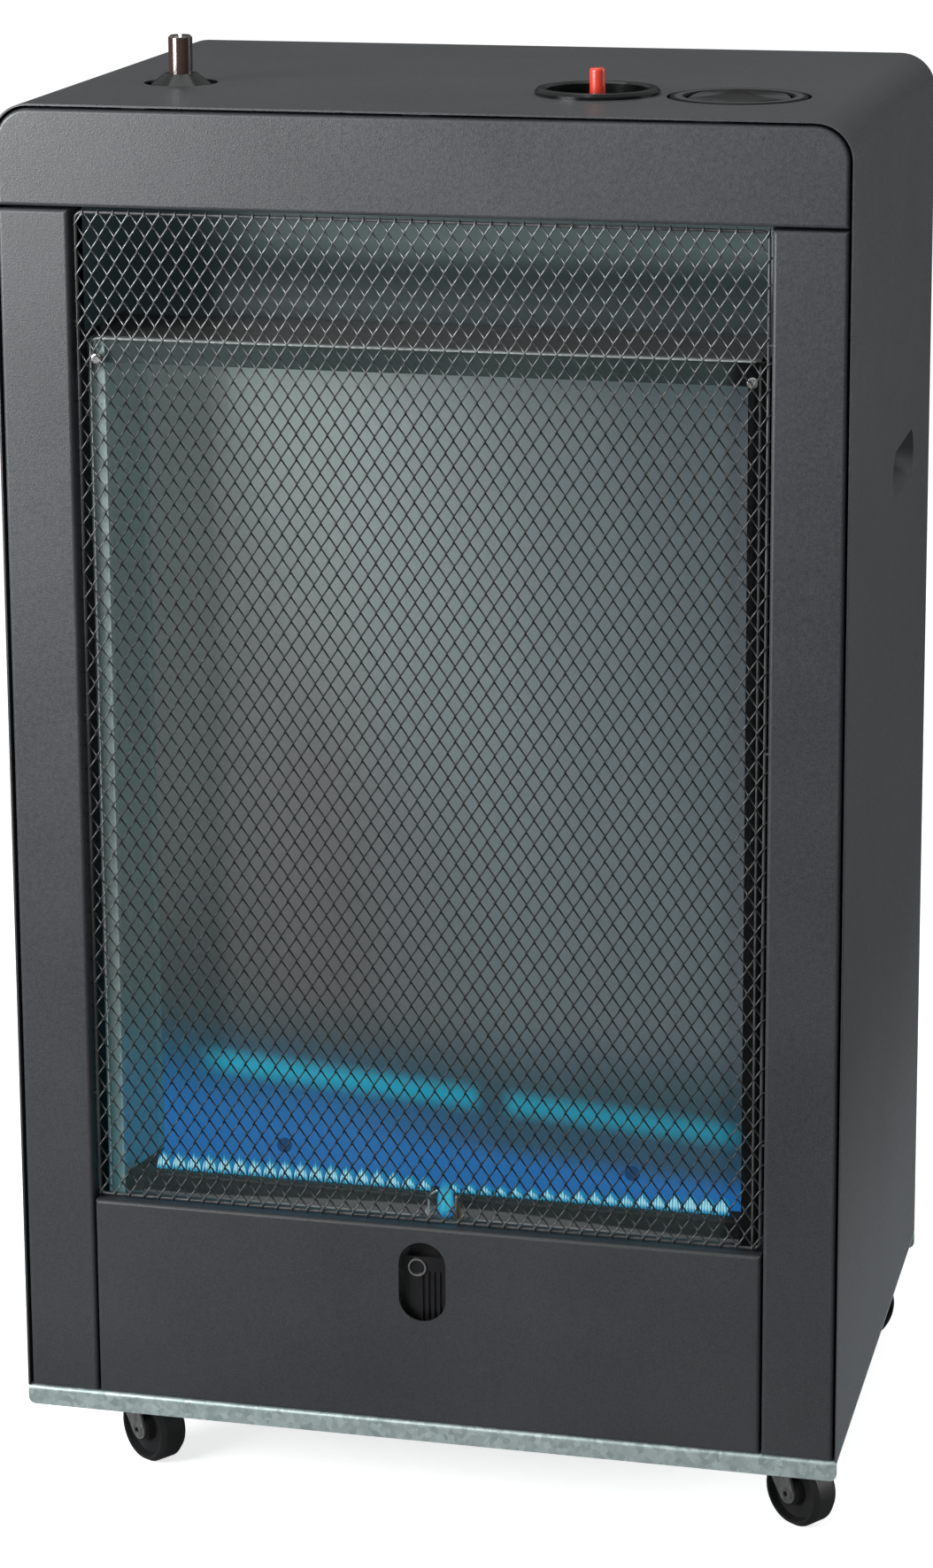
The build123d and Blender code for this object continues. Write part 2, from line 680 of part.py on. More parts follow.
control_y = behind(control_depth)
igniter_y = behind(igniter_depth)
rail_under = rail_top - rail_thick
valve_height = rail_under - 20.0
valve_radius = 15.0
safety_radius = 12.0
spindle_radius = 3.0
spindle_flat = 2.5
knob_travel = 3.0
safety_travel = 5.0
igniter_travel = 6.0
fit_gap = 0.05
button_radius = 4.15
igniter_radius = 6.5
knob_radius = 26.6

with BuildPart() as control_rail:
    with BuildSketch(facing_side(-178)):
        bent_strip([(behind(80), rail_top - 8), (behind(80), rail_top), (behind(136), rail_top),
                    (behind(136), casing_top - sheet), (behind(146), casing_top - sheet)],
                   rail_thick, 2.5, Side.RIGHT)
    extrude(amount=372)
    with BuildSketch(Plane.XY.offset(rail_top)):
        with Locations((knob_x, control_y)):
            Circle(spindle_radius + 0.6)
        with Locations((safety_x, control_y)):
            Circle(button_radius + 0.25)
        with Locations((igniter_x, igniter_y)):
            Circle(igniter_radius + 0.3)
    extrude(amount=-2 * rail_thick, mode=Mode.SUBTRACT)
write(control_rail, "control_rail")

with BuildPart() as knob_bezel:
    with BuildSketch(Plane.XZ):
        with BuildLine():
            Polyline((spindle_radius + 0.6, rail_top), (30.2, rail_top), (30.2, casing_top - 1.2),
                     (34.7, casing_top - 1.2), (34.7, casing_top - 7), (36.2, casing_top - 7),
                     (36.2, casing_top - 0.4), (35.4, casing_top + 0.4), (29.0, casing_top + 0.4),
                     (28.2, casing_top - 0.4), (28.2, rail_top + 2), (spindle_radius + 0.6, rail_top + 2),
                     close=True)
        make_face()
    revolve(axis=Axis.Z)
knob_bezel.part = knob_bezel.part.moved(Location((knob_x, control_y, 0)))
write(knob_bezel, "knob_bezel")

scoop_radius = 38.0
scoop_out = 21.0

with BuildPart() as control_knob:
    with BuildSketch(Plane.XZ):
        with BuildLine():
            Polyline((0, casing_top + 2.6), (0, casing_top - 4), (spindle_radius + fit_gap, casing_top - 4),
                     (spindle_radius + fit_gap, casing_top - 14.5), (6.5, casing_top - 14.5),
                     (6.5, casing_top - 4), (24.6, casing_top - 4), (24.6, casing_top - 13),
                     (knob_radius, casing_top - 13), (knob_radius, casing_top - 0.5),
                     (knob_radius - 1.4, casing_top + 0.6))
            ThreePointArc((knob_radius - 1.4, casing_top + 0.6), (15, casing_top + 2.1),
                          (4, casing_top + 2.6))
            Line((4, casing_top + 2.6), (0, casing_top + 2.6))
        make_face()
    revolve(axis=Axis.Z)
    # the flat inside the hub that keys the knob to its spindle
    with BuildSketch(Plane.XY.offset(casing_top - 14.5)):
        with Locations((spindle_flat + fit_gap + 1, 0)):
            Rectangle(2, 2 * spindle_radius)
        Circle(spindle_radius + 1, mode=Mode.INTERSECT)
    extrude(amount=10.6)
    # two finger scoops that leave a waisted bar between them
    with Locations((-scoop_out, 0, casing_top + 36.6), (scoop_out, 0, casing_top + 36.6)):
        Sphere(scoop_radius, rotation=(90, 0, 0), mode=Mode.SUBTRACT)
    # pointer dot
    with BuildSketch(Plane.XY.offset(casing_top + 3)):
        with Locations((0, 21)):
            Circle(1.3)
    extrude(amount=-2.2, mode=Mode.SUBTRACT)
control_knob.part = control_knob.part.moved(Location((knob_x, control_y, 0)))
write(control_knob, "control_knob")

with BuildPart() as valve_spindle:
    with BuildSketch(Plane.XY.offset(rail_under - 12)):
        Circle(spindle_radius)
    extrude(amount=casing_top - 8 - rail_under + 12)
    # the flat starts low enough for the knob to slide down on it
    with BuildSketch(Plane.XY.offset(casing_top - 15 - knob_travel)):
        with Locations((spindle_flat + 2, 0)):
            Rectangle(4, 8)
    extrude(amount=8 + knob_travel, mode=Mode.SUBTRACT)
valve_spindle.part = valve_spindle.part.moved(Location((knob_x, control_y, 0)))
write(valve_spindle, "valve_spindle")

with BuildPart() as gas_valve:
    with BuildSketch(Plane.XY.offset(rail_under)):
        with Locations((knob_x, control_y)):
            Circle(valve_radius)
    extrude(amount=-32)
    with BuildSketch(Plane.XY.offset(rail_under)):
        with Locations((knob_x, control_y)):
            Rectangle(2 * valve_radius + 8, 16)
    extrude(amount=-5)
    # ports on both sides, gas inlet at the back
    for side in (-1, 1):
        with BuildSketch(facing_side(knob_x + side * 8)):
            with Locations((control_y, valve_height)):
                RegularPolygon(6.5, 6, major_radius=False)
        extrude(amount=side * 16)
    with BuildSketch(facing_front(control_depth + 8)):
        with Locations((knob_x, valve_height)):
            RegularPolygon(8, 6, major_radius=False)
    extrude(amount=-14)
    chamfer(gas_valve.faces().sort_by(Axis.Z)[0].edges(), 1.5)
    with Locations((knob_x, control_y, rail_under)):
        Hole(spindle_radius + fit_gap, 13)
write(gas_valve, "gas_valve")

nozzle_root = control_depth + 22.0
barb_long = 7.0
barb_land = 4.5            # the straight part of each barb, which grips the hose
barb_count = 3
barb_radius = 5.2
neck_radius = 4.3
nozzle_bore = 2.5

with BuildPart() as hose_nozzle:
    with BuildSketch(facing_front(nozzle_root)):
        with Locations((knob_x, valve_height)):
            RegularPolygon(7, 6, major_radius=False)
    extrude(amount=-6)
    with BuildSketch(facing_side(knob_x)):
        with BuildLine():
            start = behind(nozzle_root + 6)
            barb_points = [(start, valve_height)]
            for barb in range(barb_count):
                barb_root = start + barb * barb_long
                barb_points.append((barb_root, valve_height + barb_radius))
                barb_points.append((barb_root + barb_land, valve_height + barb_radius))
                barb_points.append((barb_root + barb_long, valve_height + neck_radius))
            barb_points.append((start + barb_count * barb_long, valve_height))
            Polyline(*barb_points, close=True)
        make_face()
    revolve(axis=Axis((knob_x, 0, valve_height), (0, 1, 0)))
    with Locations(Plane(origin=(knob_x, behind(nozzle_root + 6 + barb_count * barb_long), valve_height),
                         z_dir=(0, 1, 0))):
        Hole(nozzle_bore, 24)
write(hose_nozzle, "hose_nozzle")

with BuildPart() as safety_cup:
    with BuildSketch(Plane.XZ):
        with BuildLine():
            Polyline((button_radius + 0.15, rail_top), (28.4, rail_top), (28.4, casing_top),
                     (33, casing_top), (33, casing_top + 1.6), (31.6, casing_top + 3.3),
                     (28.2, casing_top + 3.3), (27, casing_top + 2.2), (27, rail_top + 2),
                     (button_radius + 0.15, rail_top + 2), close=True)
        make_face()
    revolve(axis=Axis.Z)
    fillet(safety_cup.edges().filter_by(GeomType.CIRCLE).group_by(Axis.Z)[-1], 0.8)
safety_cup.part = safety_cup.part.moved(Location((safety_x, control_y, 0)))
write(safety_cup, "safety_cup")

with BuildPart() as safety_button:
    with BuildSketch(Plane.XY.offset(rail_under - 8)):
        with Locations((safety_x, control_y)):
            Circle(button_radius)
    extrude(amount=casing_top + 13.5 - rail_under + 8)
    fillet(safety_button.faces().sort_by(Axis.Z)[-1].edges(), 1.4)
write(safety_button, "safety_button")

with BuildPart() as safety_valve:
    with BuildSketch(Plane.XY.offset(rail_under)):
        with Locations((safety_x, control_y)):
            Circle(safety_radius)
    extrude(amount=-36)
    chamfer(safety_valve.faces().sort_by(Axis.Z)[0].edges(), 2)
    with BuildSketch(facing_side(safety_x + 6)):
        with Locations((control_y, valve_height)):
            RegularPolygon(6, 6, major_radius=False)
    extrude(amount=14)
    with Locations((safety_x, control_y, rail_under)):
        Hole(button_radius + fit_gap, 15)
write(safety_valve, "safety_valve")

with BuildPart() as igniter_flange:
    with BuildSketch(Plane.XZ):
        with BuildLine():
            Polyline((igniter_radius + 0.1, rail_top), (11, rail_top), (11, casing_top - 2),
                     (16.2, casing_top - 2), (16.2, casing_top - 0.6), (8.6, casing_top + 5.2),
                     (igniter_radius + 0.1, casing_top + 5.2), close=True)
        make_face()
    revolve(axis=Axis.Z)
igniter_flange.part = igniter_flange.part.moved(Location((igniter_x, igniter_y, 0)))
write(igniter_flange, "igniter_flange")

button_top = casing_top + 25.5
slot_deep = 2.2

with BuildPart() as igniter_button:
    with BuildSketch(Plane.XY.offset(rail_under - 4)):
        with Locations((igniter_x, igniter_y)):
            Circle(igniter_radius)
    extrude(amount=button_top - rail_under + 4)
    chamfer(igniter_button.faces().sort_by(Axis.Z)[-1].edges(), 1.2)
    with BuildSketch(Plane.XY.offset(button_top)):
        with Locations((igniter_x, igniter_y)):
            Rectangle(2.2, 2 * igniter_radius + 2, rotation=20)
    extrude(amount=-slot_deep, mode=Mode.SUBTRACT)
write(igniter_button, "igniter_button")

with BuildPart() as igniter_body:
    with BuildSketch(Plane.XY.offset(rail_under)):
        with Locations((igniter_x, igniter_y)):
            Circle(11)
    extrude(amount=-46)
    fillet(igniter_body.faces().sort_by(Axis.Z)[0].edges(), 2)
    with Locations((igniter_x, igniter_y, rail_under)):
        Hole(igniter_radius + 0.1, 12)
write(igniter_body, "igniter_body")


def pipe(points, radius, bend):
    """A round pipe or lead along a bent path."""
    with BuildPart() as tube:
        with BuildLine() as path:
            FilletPolyline(*points, radius=bend)
        with BuildSketch(Plane(origin=path.line @ 0, z_dir=path.line % 0)):
            Circle(radius)
        sweep()
    return tube


pipe_run_x = 203.0
pipe_run_y = behind(64)

with BuildPart() as gas_pipes:
    with BuildLine() as feed_path:
        FilletPolyline((knob_x + 24, control_y, valve_height), (pipe_run_x, control_y, valve_height),
                       (pipe_run_x, pipe_run_y, valve_height), (pipe_run_x, pipe_run_y, tube_height),
                       (pipe_run_x, behind(burner_depth), tube_height),
                       (injector_x + 11, behind(burner_depth), tube_height), radius=9)
    with BuildSketch(Plane(origin=feed_path.line @ 0, z_dir=feed_path.line % 0)):
        Circle(3)
    sweep()
    # the short link between the safety valve and the tap
    with BuildSketch(facing_side(safety_x + 20)):
        with Locations((control_y, valve_height)):
            Circle(4)
    extrude(amount=knob_x - 24 - safety_x - 20)
write(gas_pipes, "gas_pipes")

safety_foot = rail_under - 36.0
pilot_run_x = 192.0
pilot_run_low = tray_top + 37.0
pilot_run_top = safety_foot - 24.0
pilot_y = behind(pilot_depth)
pilot_pipe = pipe([(safety_x, control_y, safety_foot), (safety_x, control_y, pilot_run_top),
                   (pilot_run_x, control_y, pilot_run_top), (pilot_run_x, behind(72), pilot_run_top),
                   (pilot_run_x, behind(72), pilot_run_low), (pilot_run_x, pilot_y, pilot_run_low),
                   (pilot_x, pilot_y, pilot_run_low), (pilot_x, pilot_y, shelf_top - 22)], 2.0, 7.0)
write(pilot_pipe, "pilot_pipe")

lead_x = 187.0
lead_y = control_y + 7
lead_top = safety_foot - 33.0
lead_low = pilot_run_low + 8.0
probe_top = shelf_top + 15.0

with BuildPart() as thermocouple:
    with BuildSketch(Plane.XY.offset(shelf_top - 12)):
        with Locations((probe_x, behind(pilot_depth))):
            Circle(probe_radius)
    extrude(amount=probe_top - shelf_top + 12)
    fillet(thermocouple.faces().sort_by(Axis.Z)[-1].edges(), 1.0)
    with BuildLine() as lead_path:
        FilletPolyline((safety_x, lead_y, safety_foot), (safety_x, lead_y, lead_top),
                       (lead_x, lead_y, lead_top), (lead_x, behind(80), lead_top),
                       (lead_x, behind(80), lead_low), (lead_x, pilot_y, lead_low),
                       (probe_x, pilot_y, lead_low), (probe_x, pilot_y, shelf_top - 10), radius=6)
    with BuildSketch(Plane(origin=lead_path.line @ 0, z_dir=lead_path.line % 0)):
        Circle(0.9)
    sweep()
write(thermocouple, "thermocouple")

igniter_foot = rail_under - 46.0
spark_lead_x = -190.0
spark_lead_low = tray_top + 60.0
spark_lead_top = igniter_foot - 18.0
ignition_lead = pipe([(spark_x, pilot_y, shelf_top - 16), (spark_x, pilot_y, spark_lead_low),
                      (spark_lead_x, pilot_y, spark_lead_low), (spark_lead_x, behind(70), spark_lead_low),
                      (spark_lead_x, behind(70), spark_lead_top), (spark_lead_x, igniter_y, spark_lead_top),
                      (igniter_x, igniter_y, spark_lead_top), (igniter_x, igniter_y, igniter_foot)], 1.5, 6.0)
write(ignition_lead, "ignition_lead")

# ---- tip-over switch seen through the window in the lower panel ----
switch_back = 17.0
switch_front = 6.0
switch_top = tray_top + 93.0

with BuildPart() as tip_switch_bracket:
    with BuildSketch(facing_front(switch_back)):
        with Locations((0, tray_top + 75)):
            Rectangle(44, 46)
    extrude(amount=-sheet)
write(tip_switch_bracket, "tip_switch_bracket")

with BuildPart() as tip_switch_housing:
    with BuildSketch(facing_front(switch_back)) as switch_outline:
        with Locations((3.5, switch_top)):
            Rectangle(29, 46, align=(Align.CENTER, Align.MAX))
        fillet(switch_outline.vertices(), 2)
    extrude(amount=switch_back - switch_front)
    with BuildSketch(facing_front(switch_front)):
        with Locations((6, switch_top - 26)):
            with GridLocations(3.2, 1, 5, 1):
                Rectangle(1.4, 36)
    extrude(amount=-1.2, mode=Mode.SUBTRACT)
    # the round boss above the block
    with BuildSketch(facing_front(switch_back)):
        with Locations((0, switch_top)):
            Circle(9)
    extrude(amount=7)
write(tip_switch_housing, "tip_switch_housing")

with BuildPart() as tip_switch_ring:
    with BuildSketch(facing_front(switch_front)):
        with Locations((-4, switch_top - 6)):
            Circle(5)
            Circle(4.1, mode=Mode.SUBTRACT)
    extrude(amount=1.0)
write(tip_switch_ring, "tip_switch_ring")

# ================= castors =================

fork_sheet = 1.6
fork_inner = wheel_width / 2 + 1.2
fork_top = 52.5
plate_under = tray_top - tray_sheet
king_radius = 5.0
head_thick = 1.0

castors = {
    "castor_front_left": (-swivel_x, behind(front_swivel), -36.0),
    "castor_front_right": (swivel_x, behind(front_swivel), -36.0),
    "castor_rear_left": (-swivel_x, behind(rear_swivel), -36.0),
    "castor_rear_right": (swivel_x, behind(rear_swivel), 45.0),
}

for name, (x, y, turn) in castors.items():
    along = Vector(math.cos(math.radians(turn)), math.sin(math.radians(turn)), 0)
    across = Vector(-along.Y, along.X, 0)
    swivel = Vector(x, y, 0)

    with BuildPart() as mount:
        for foot, top, radius in ((plate_under - 2.3, plate_under, 17.0),
                                  (fork_top + 0.4, plate_under - 2.3, 12.0),
                                  (fork_top - 3.9, fork_top + 0.4, king_radius),
                                  (fork_top - 3.9, fork_top - 2.4, 8.0),
                                  (plate_under, tray_top + 12, stem_radius)):
            with BuildSketch(Plane.XY.offset(foot)):
                with Locations((x, y)):
                    Circle(radius)
            extrude(amount=top - foot)
        with BuildSketch(Plane.XY.offset(tray_top)):
            with Locations((x, y)):
                RegularPolygon(6.5, 6, major_radius=False)
        extrude(amount=6.5)
    write(mount, f"{name}_mount")

    with BuildPart() as fork:
        with BuildSketch(Plane(origin=(x, y, fork_top), x_dir=along, z_dir=(0, 0, -1))):
            Circle(14)
            Rectangle(22, 2 * (fork_inner + fork_sheet))
            Circle(king_radius + fit_gap, mode=Mode.SUBTRACT)
        extrude(amount=2)
        for side in (-1, 1):
            face_at = swivel + across * (side * fork_inner)
            with BuildSketch(Plane(origin=face_at, x_dir=along, z_dir=-across)):
                with Locations((0, fork_top - 1)):
                    Rectangle(22, 2)
                with Locations((trail, wheel_radius)):
                    Circle(5.6)
                make_hull()
                with Locations((trail, wheel_radius)):
                    Circle(axle_radius, mode=Mode.SUBTRACT)
            extrude(amount=-side * fork_sheet)
    write(fork, f"{name}_fork")

    centre = swivel + along * trail + Vector(0, 0, wheel_radius)
    with BuildPart() as axle:
        fork_face = fork_inner + fork_sheet
        with BuildSketch(Plane(origin=centre - across * fork_face, x_dir=along, z_dir=across)):
            Circle(axle_radius)
        extrude(amount=2 * fork_face)
        for side in (-1, 1):
            head_at = centre + across * (side * fork_face)
            with BuildSketch(Plane(origin=head_at, x_dir=along, z_dir=across)):
                Circle(4.2)
            extrude(amount=side * head_thick)
        with Locations(Plane(origin=centre, x_dir=along, z_dir=across)):
            Hole(1.5)
    write(axle, f"{name}_axle")

    with BuildPart() as wheel:
        with BuildSketch(Plane(origin=centre, x_dir=along, z_dir=(0, 0, 1))):
            rim_edge = wheel_width / 2
            with BuildLine():
                Polyline((axle_radius + fit_gap, -rim_edge - 0.4), (7, -rim_edge - 0.4), (8, -rim_edge + 4),
                         (15.5, -rim_edge + 4), (16.5, -rim_edge), (wheel_radius - 2, -rim_edge),
                         (wheel_radius, -rim_edge + 3), (wheel_radius, rim_edge - 3),
                         (wheel_radius - 2, rim_edge), (16.5, rim_edge), (15.5, rim_edge - 4),
                         (8, rim_edge - 4), (7, rim_edge + 0.4), (axle_radius + fit_gap, rim_edge + 0.4),
                         close=True)
            make_face()
        revolve(axis=Axis(centre, across))
    write(wheel, f"{name}_wheel")
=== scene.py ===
import math

import bpy
import numpy as np
from mathutils import Matrix, Vector


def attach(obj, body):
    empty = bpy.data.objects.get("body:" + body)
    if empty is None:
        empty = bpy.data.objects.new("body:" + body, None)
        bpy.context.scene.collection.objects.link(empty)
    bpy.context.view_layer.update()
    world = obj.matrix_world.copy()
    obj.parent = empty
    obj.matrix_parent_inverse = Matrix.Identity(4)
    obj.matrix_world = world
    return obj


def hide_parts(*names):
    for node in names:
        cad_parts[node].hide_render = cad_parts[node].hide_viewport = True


# The looks of the portable gas heater: materials for the CAD nodes, the woven guard, the flames,
# the studio and the camera. +Z up, the front faces -Y. Sizes are in millimetres, and MM turns
# them into Blender's metres.

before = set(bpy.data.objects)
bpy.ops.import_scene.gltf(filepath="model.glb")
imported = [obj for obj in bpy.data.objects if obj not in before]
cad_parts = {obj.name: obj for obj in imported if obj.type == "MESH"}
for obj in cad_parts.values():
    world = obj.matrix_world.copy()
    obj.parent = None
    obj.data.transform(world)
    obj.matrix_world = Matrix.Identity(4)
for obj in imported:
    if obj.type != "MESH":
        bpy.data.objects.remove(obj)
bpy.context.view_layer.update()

MM = 0.001
PHOTO_TALL = 1772          # pixels
BLACK = (0.0, 0.0, 0.0)
WHITE = (1.0, 1.0, 1.0)

# ---- the same driving dimensions as the solids ----
front_y = -209.0
casing_half = 225.0
tray_top = 61.0
casing_top = 772.0
seam = 718.0               # between the guard's opening and the top fascia
panel_top = 173.0
chamber_head = 648.0       # upper edge of the glass and of the chamber's sides
glass_half = 177.0
shelf_top = tray_top + 107.0
burner_depth = 40.0
burner_top = tray_top + 118.0
pilot_x = 7.0
pilot_depth = 25.0
knob_x = 150.5
control_y = front_y + 98.0
bezel_ring = (29.8, 33.6)  # radii of the coated ring between the bezel's rims, which are painted black as the shade in the gaps

# ---- the woven guard ----
rod_depth = 5.5
rod_half = 182.1
wire_radius = 0.45
strand_front = 4.2         # depth of the strands that lean right
strand_back = 6.8          # depth of the strands that lean left
strand_curve = 0.05        # how far a strand's run is eased into its bends
diamond_wide = 8.4
diamond_tall = 13.3
mesh_foot = panel_top + 2.4
mesh_head = seam - 2.4
rod_hook = 1.7             # reach of the outermost bends round the side rods
loop_hook = 0.42           # reach of the other bends into the next spiral
end_curl = 0.5             # a cut end bends away this far past its rod,
end_turn = 1.3             # turns round it this far out
end_stop = 1.6             # and comes back this far on the other side

# ---- the flames over the burner's ports ----
port_pitch = 8.7
port_clusters = 18
port_gap = 12.5
cluster_half = 2.0         # the two runs of clusters start this much further out
flame_foot = burner_top + 0.05
left_height = 12.0
right_height = 4.8
right_rise = 0.2           # a cluster
late_cluster = 11          # from here the left flames sink and the right ones rise
late_change = 0.8          # a cluster

# ---- what the light paints on the back panel and on the chamber's walls ----
sheen_slope = 0.49         # how far the sheen leans to the left on its way up
sheen_line = 190.0         # where its middle would meet the floor
sheen_half = 270.0
shadow_line = -124.0       # the left edge of the sheen
glow_top = tray_top + 212.0
band_level = tray_top + 157.0
band_fall = 0.07           # how far the mirror image of the flames falls towards the right
band_half = 11.5
band_middle = 7.0
gap_x = 20.0               # where that image is parted
wall_bends = ((-179.5, 1.0), (-171.0, 1.2))  # x and half width of the painted highlights along the left wall's bends
flame_lit_screws = (420.0, 380.0)                  # the screws below these heights are painted in the blue light of the flames


def at(x, depth, z):
    """A point in metres from x, depth behind the front face and height, in millimetres."""
    return Vector((x * MM, (front_y + depth) * MM, z * MM))


# ================= camera, fitted to the casing's edges in the photo =================

focal_pixels = 4640.0
principal_row = 560.0
sensor = 36.0
camera_place = (0.50416, -2.21214, 1.02072)    # metres
camera_degrees = (13.395, -12.203, 0.342)      # yaw, pitch and roll

camera_data = bpy.data.cameras.new("camera")
camera_data.sensor_width = sensor
camera_data.lens = focal_pixels / PHOTO_TALL * sensor
camera_data.shift_y = (principal_row - PHOTO_TALL / 2) / PHOTO_TALL
camera_data.clip_start = 0.05
camera_data.clip_end = 120.0
camera = bpy.data.objects.new("camera", camera_data)
bpy.context.scene.collection.objects.link(camera)
yaw, pitch, roll = (math.radians(angle) for angle in camera_degrees)
camera.matrix_world = (Matrix.Translation(camera_place) @ Matrix.Rotation(yaw, 4, "Z")
                       @ Matrix.Rotation(pitch, 4, "X") @ Matrix.Rotation(roll, 4, "Y")
                       @ Matrix.Rotation(math.radians(90), 4, "X"))
bpy.context.scene.camera = camera

# ================= shader helpers =================


def node(tree, kind, inputs=None, **settings):
    """Adds a shader node, sets its properties and feeds or links its inputs."""
    made = tree.nodes.new("ShaderNode" + kind)
    for key, value in settings.items():
        setattr(made, key, value)
    for socket, value in (inputs or {}).items():
        if isinstance(value, bpy.types.NodeSocket):
            tree.links.new(value, made.inputs[socket])
        else:
            made.inputs[socket].default_value = value
    return made


def look(name, roughness, metallic=0.0, **sockets):
    """A new material with its tree, its Principled shader and its object coordinates."""
    material = bpy.data.materials.new(name)
    material.use_nodes = True
    tree = material.node_tree
    shader = tree.nodes["Principled BSDF"]
    shader.inputs["Roughness"].default_value = roughness
    shader.inputs["Metallic"].default_value = metallic
    for socket, value in sockets.items():
        shader.inputs[socket.replace("_", " ")].default_value = value
    place = node(tree, "TexCoord").outputs["Object"]
    return material, tree, shader, place


def feed(tree, shader, **sources):
    """Links node outputs into the shader's inputs, whose names have _ for a space."""
    for socket, source in sources.items():
        tree.links.new(source, shader.inputs[socket.replace("_", " ")])


def shades(tree, factor, *stops):
    """A colour ramp through (position, colour) stops."""
    ramp = node(tree, "ValToRGB", {"Fac": factor})
    elements = ramp.color_ramp.elements
    while len(elements) < len(stops):
        elements.new(1.0)
    for element, (position, color) in zip(elements, stops):
        element.position = position
        element.color = (*color, 1.0)
    return ramp.outputs["Color"]


def noise(tree, place, scale, detail=2.0, stretch=None):
    """Noise of this many cycles a metre. stretch scales the three axes."""
    if stretch:
        place = node(tree, "Mapping", {"Vector": place, "Scale": stretch}).outputs["Vector"]
    made = node(tree, "TexNoise", {"Vector": place, "Scale": scale, "Detail": detail})
    return made.outputs["Fac"]


def spread(tree, value, low, high, start=0.3, end=0.7):
    """Maps a value between start and end onto low to high."""
    return node(tree, "MapRange", {"Value": value, "From Min": start, "From Max": end,
                                   "To Min": low, "To Max": high}).outputs["Result"]


def smooth_share(tree, value, none, full):
    """0 where the value is at none, 1 where it is at full, and a smooth step between them."""
    ends = {"Value": value, "From Min": none, "From Max": full, "To Min": 0.0, "To Max": 1.0}
    return node(tree, "MapRange", ends, interpolation_type="SMOOTHSTEP").outputs["Result"]


def mm_share(tree, value, none, full):
    """smooth_share of a length in metres, with its two ends in millimetres."""
    return smooth_share(tree, value, none * MM, full * MM)


def axes(tree, place, names):
    """The named coordinates of a place, in metres."""
    outputs = node(tree, "SeparateXYZ", {"Vector": place}).outputs
    return [outputs[name] for name in names]


def height_share(tree, place, none, full):
    """0 at one height and 1 at the other, in millimetres, smoothly between them."""
    return mm_share(tree, axes(tree, place, "Z")[0], none, full)


def reckon(tree, operation, first, second=0.0):
    """One step of arithmetic on sockets or numbers."""
    return node(tree, "Math", {0: first, 1: second}, operation=operation).outputs["Value"]


def product(tree, first, *factors):
    """The product of sockets or numbers."""
    for factor in factors:
        first = reckon(tree, "MULTIPLY", first, factor)
    return first


def apart(tree, first, second=0.0):
    """How far two values are apart."""
    return reckon(tree, "ABSOLUTE", reckon(tree, "SUBTRACT", first, second))


def between(tree, factor, first, second):
    """A mix of two numbers."""
    return node(tree, "Mix", {"Factor": factor, 2: first, 3: second}).outputs[0]


def blend(tree, factor, first, second):
    """A mix of two colours, given as sockets or as red, green, blue."""
    first, second = ((*c, 1.0) if isinstance(c, tuple) else c for c in (first, second))
    return node(tree, "Mix", {"Factor": factor, 6: first, 7: second}, data_type="RGBA").outputs[2]


def bump(tree, shader, height, depth, strength=0.3):
    """Raises the surface by a texture, depth in metres."""
    made = node(tree, "Bump", {"Height": height, "Distance": depth, "Strength": strength})
    feed(tree, shader, Normal=made.outputs["Normal"])


def fine_grain(tree, shader, place, scale, low, high, depth=0.00002):
    """Specks that vary the roughness from low to high and raise the surface a little."""
    speck = noise(tree, place, scale)
    feed(tree, shader, Roughness=spread(tree, speck, low, high))
    bump(tree, shader, speck, depth)
    return speck


# ================= looks =================


def powder_coat(name, ring=None):
    """Fine-textured charcoal powder coat; on the bezel only a ring of it, between rims painted
    black as the shade in the gaps round it.
    """
    material, tree, shader, place = look(name, 0.42, Emission_Strength=1.0)
    grain = noise(tree, place, 1300.0)
    tone = reckon(tree, "ADD", product(tree, noise(tree, place, 7.0, 3.0), 0.45),
                  product(tree, grain, 0.55))
    color = shades(tree, tone, (0.34, (0.024, 0.027, 0.030)), (0.66, (0.046, 0.050, 0.054)))
    if ring:
        middle = (knob_x * MM, control_y * MM, 0.0)
        away = node(tree, "VectorMath", {0: place, 1: middle}, operation="SUBTRACT")
        flat = node(tree, "VectorMath", {0: away.outputs["Vector"], 1: (1.0, 1.0, 0.0)},
                    operation="MULTIPLY")
        length = node(tree, "VectorMath", {0: flat.outputs["Vector"]}, operation="LENGTH")
        radius = length.outputs["Value"]
        inner, outer = ring
        soft = 0.2
        # the rims are painted near black, with little gloss, as the shade in the gaps round the
        # ring
        rim = reckon(tree, "MAXIMUM", mm_share(tree, radius, inner + soft, inner - soft),
                     mm_share(tree, radius, outer - soft, outer + soft))
        color = blend(tree, rim, color, (0.003, 0.003, 0.0035))
        feed(tree, shader, Specular_IOR_Level=spread(tree, rim, 0.5, 0.12, 0.0, 1.0))
    # painted shade darkens the right side halfway up, and a painted glow at its foot stands in for
    # light from the white floor
    x, z = axes(tree, place, "XZ")
    side = mm_share(tree, x, casing_half - 1.0, casing_half - 0.2)
    painted_waist_shade = mm_share(tree, apart(tree, z, 400.0 * MM), 260.0, 40.0)
    foot = product(tree, side, mm_share(tree, z, 310.0, 50.0))
    feed(tree, shader,
         Base_Color=blend(tree, product(tree, side, painted_waist_shade, 0.55), color, (0.012, 0.013, 0.014)),
         Emission_Color=blend(tree, foot, BLACK, (0.046, 0.050, 0.052)),
         Roughness=spread(tree, noise(tree, place, 420.0), 0.36, 0.48))
    bump(tree, shader, grain, 0.00014, 0.6)
    return material


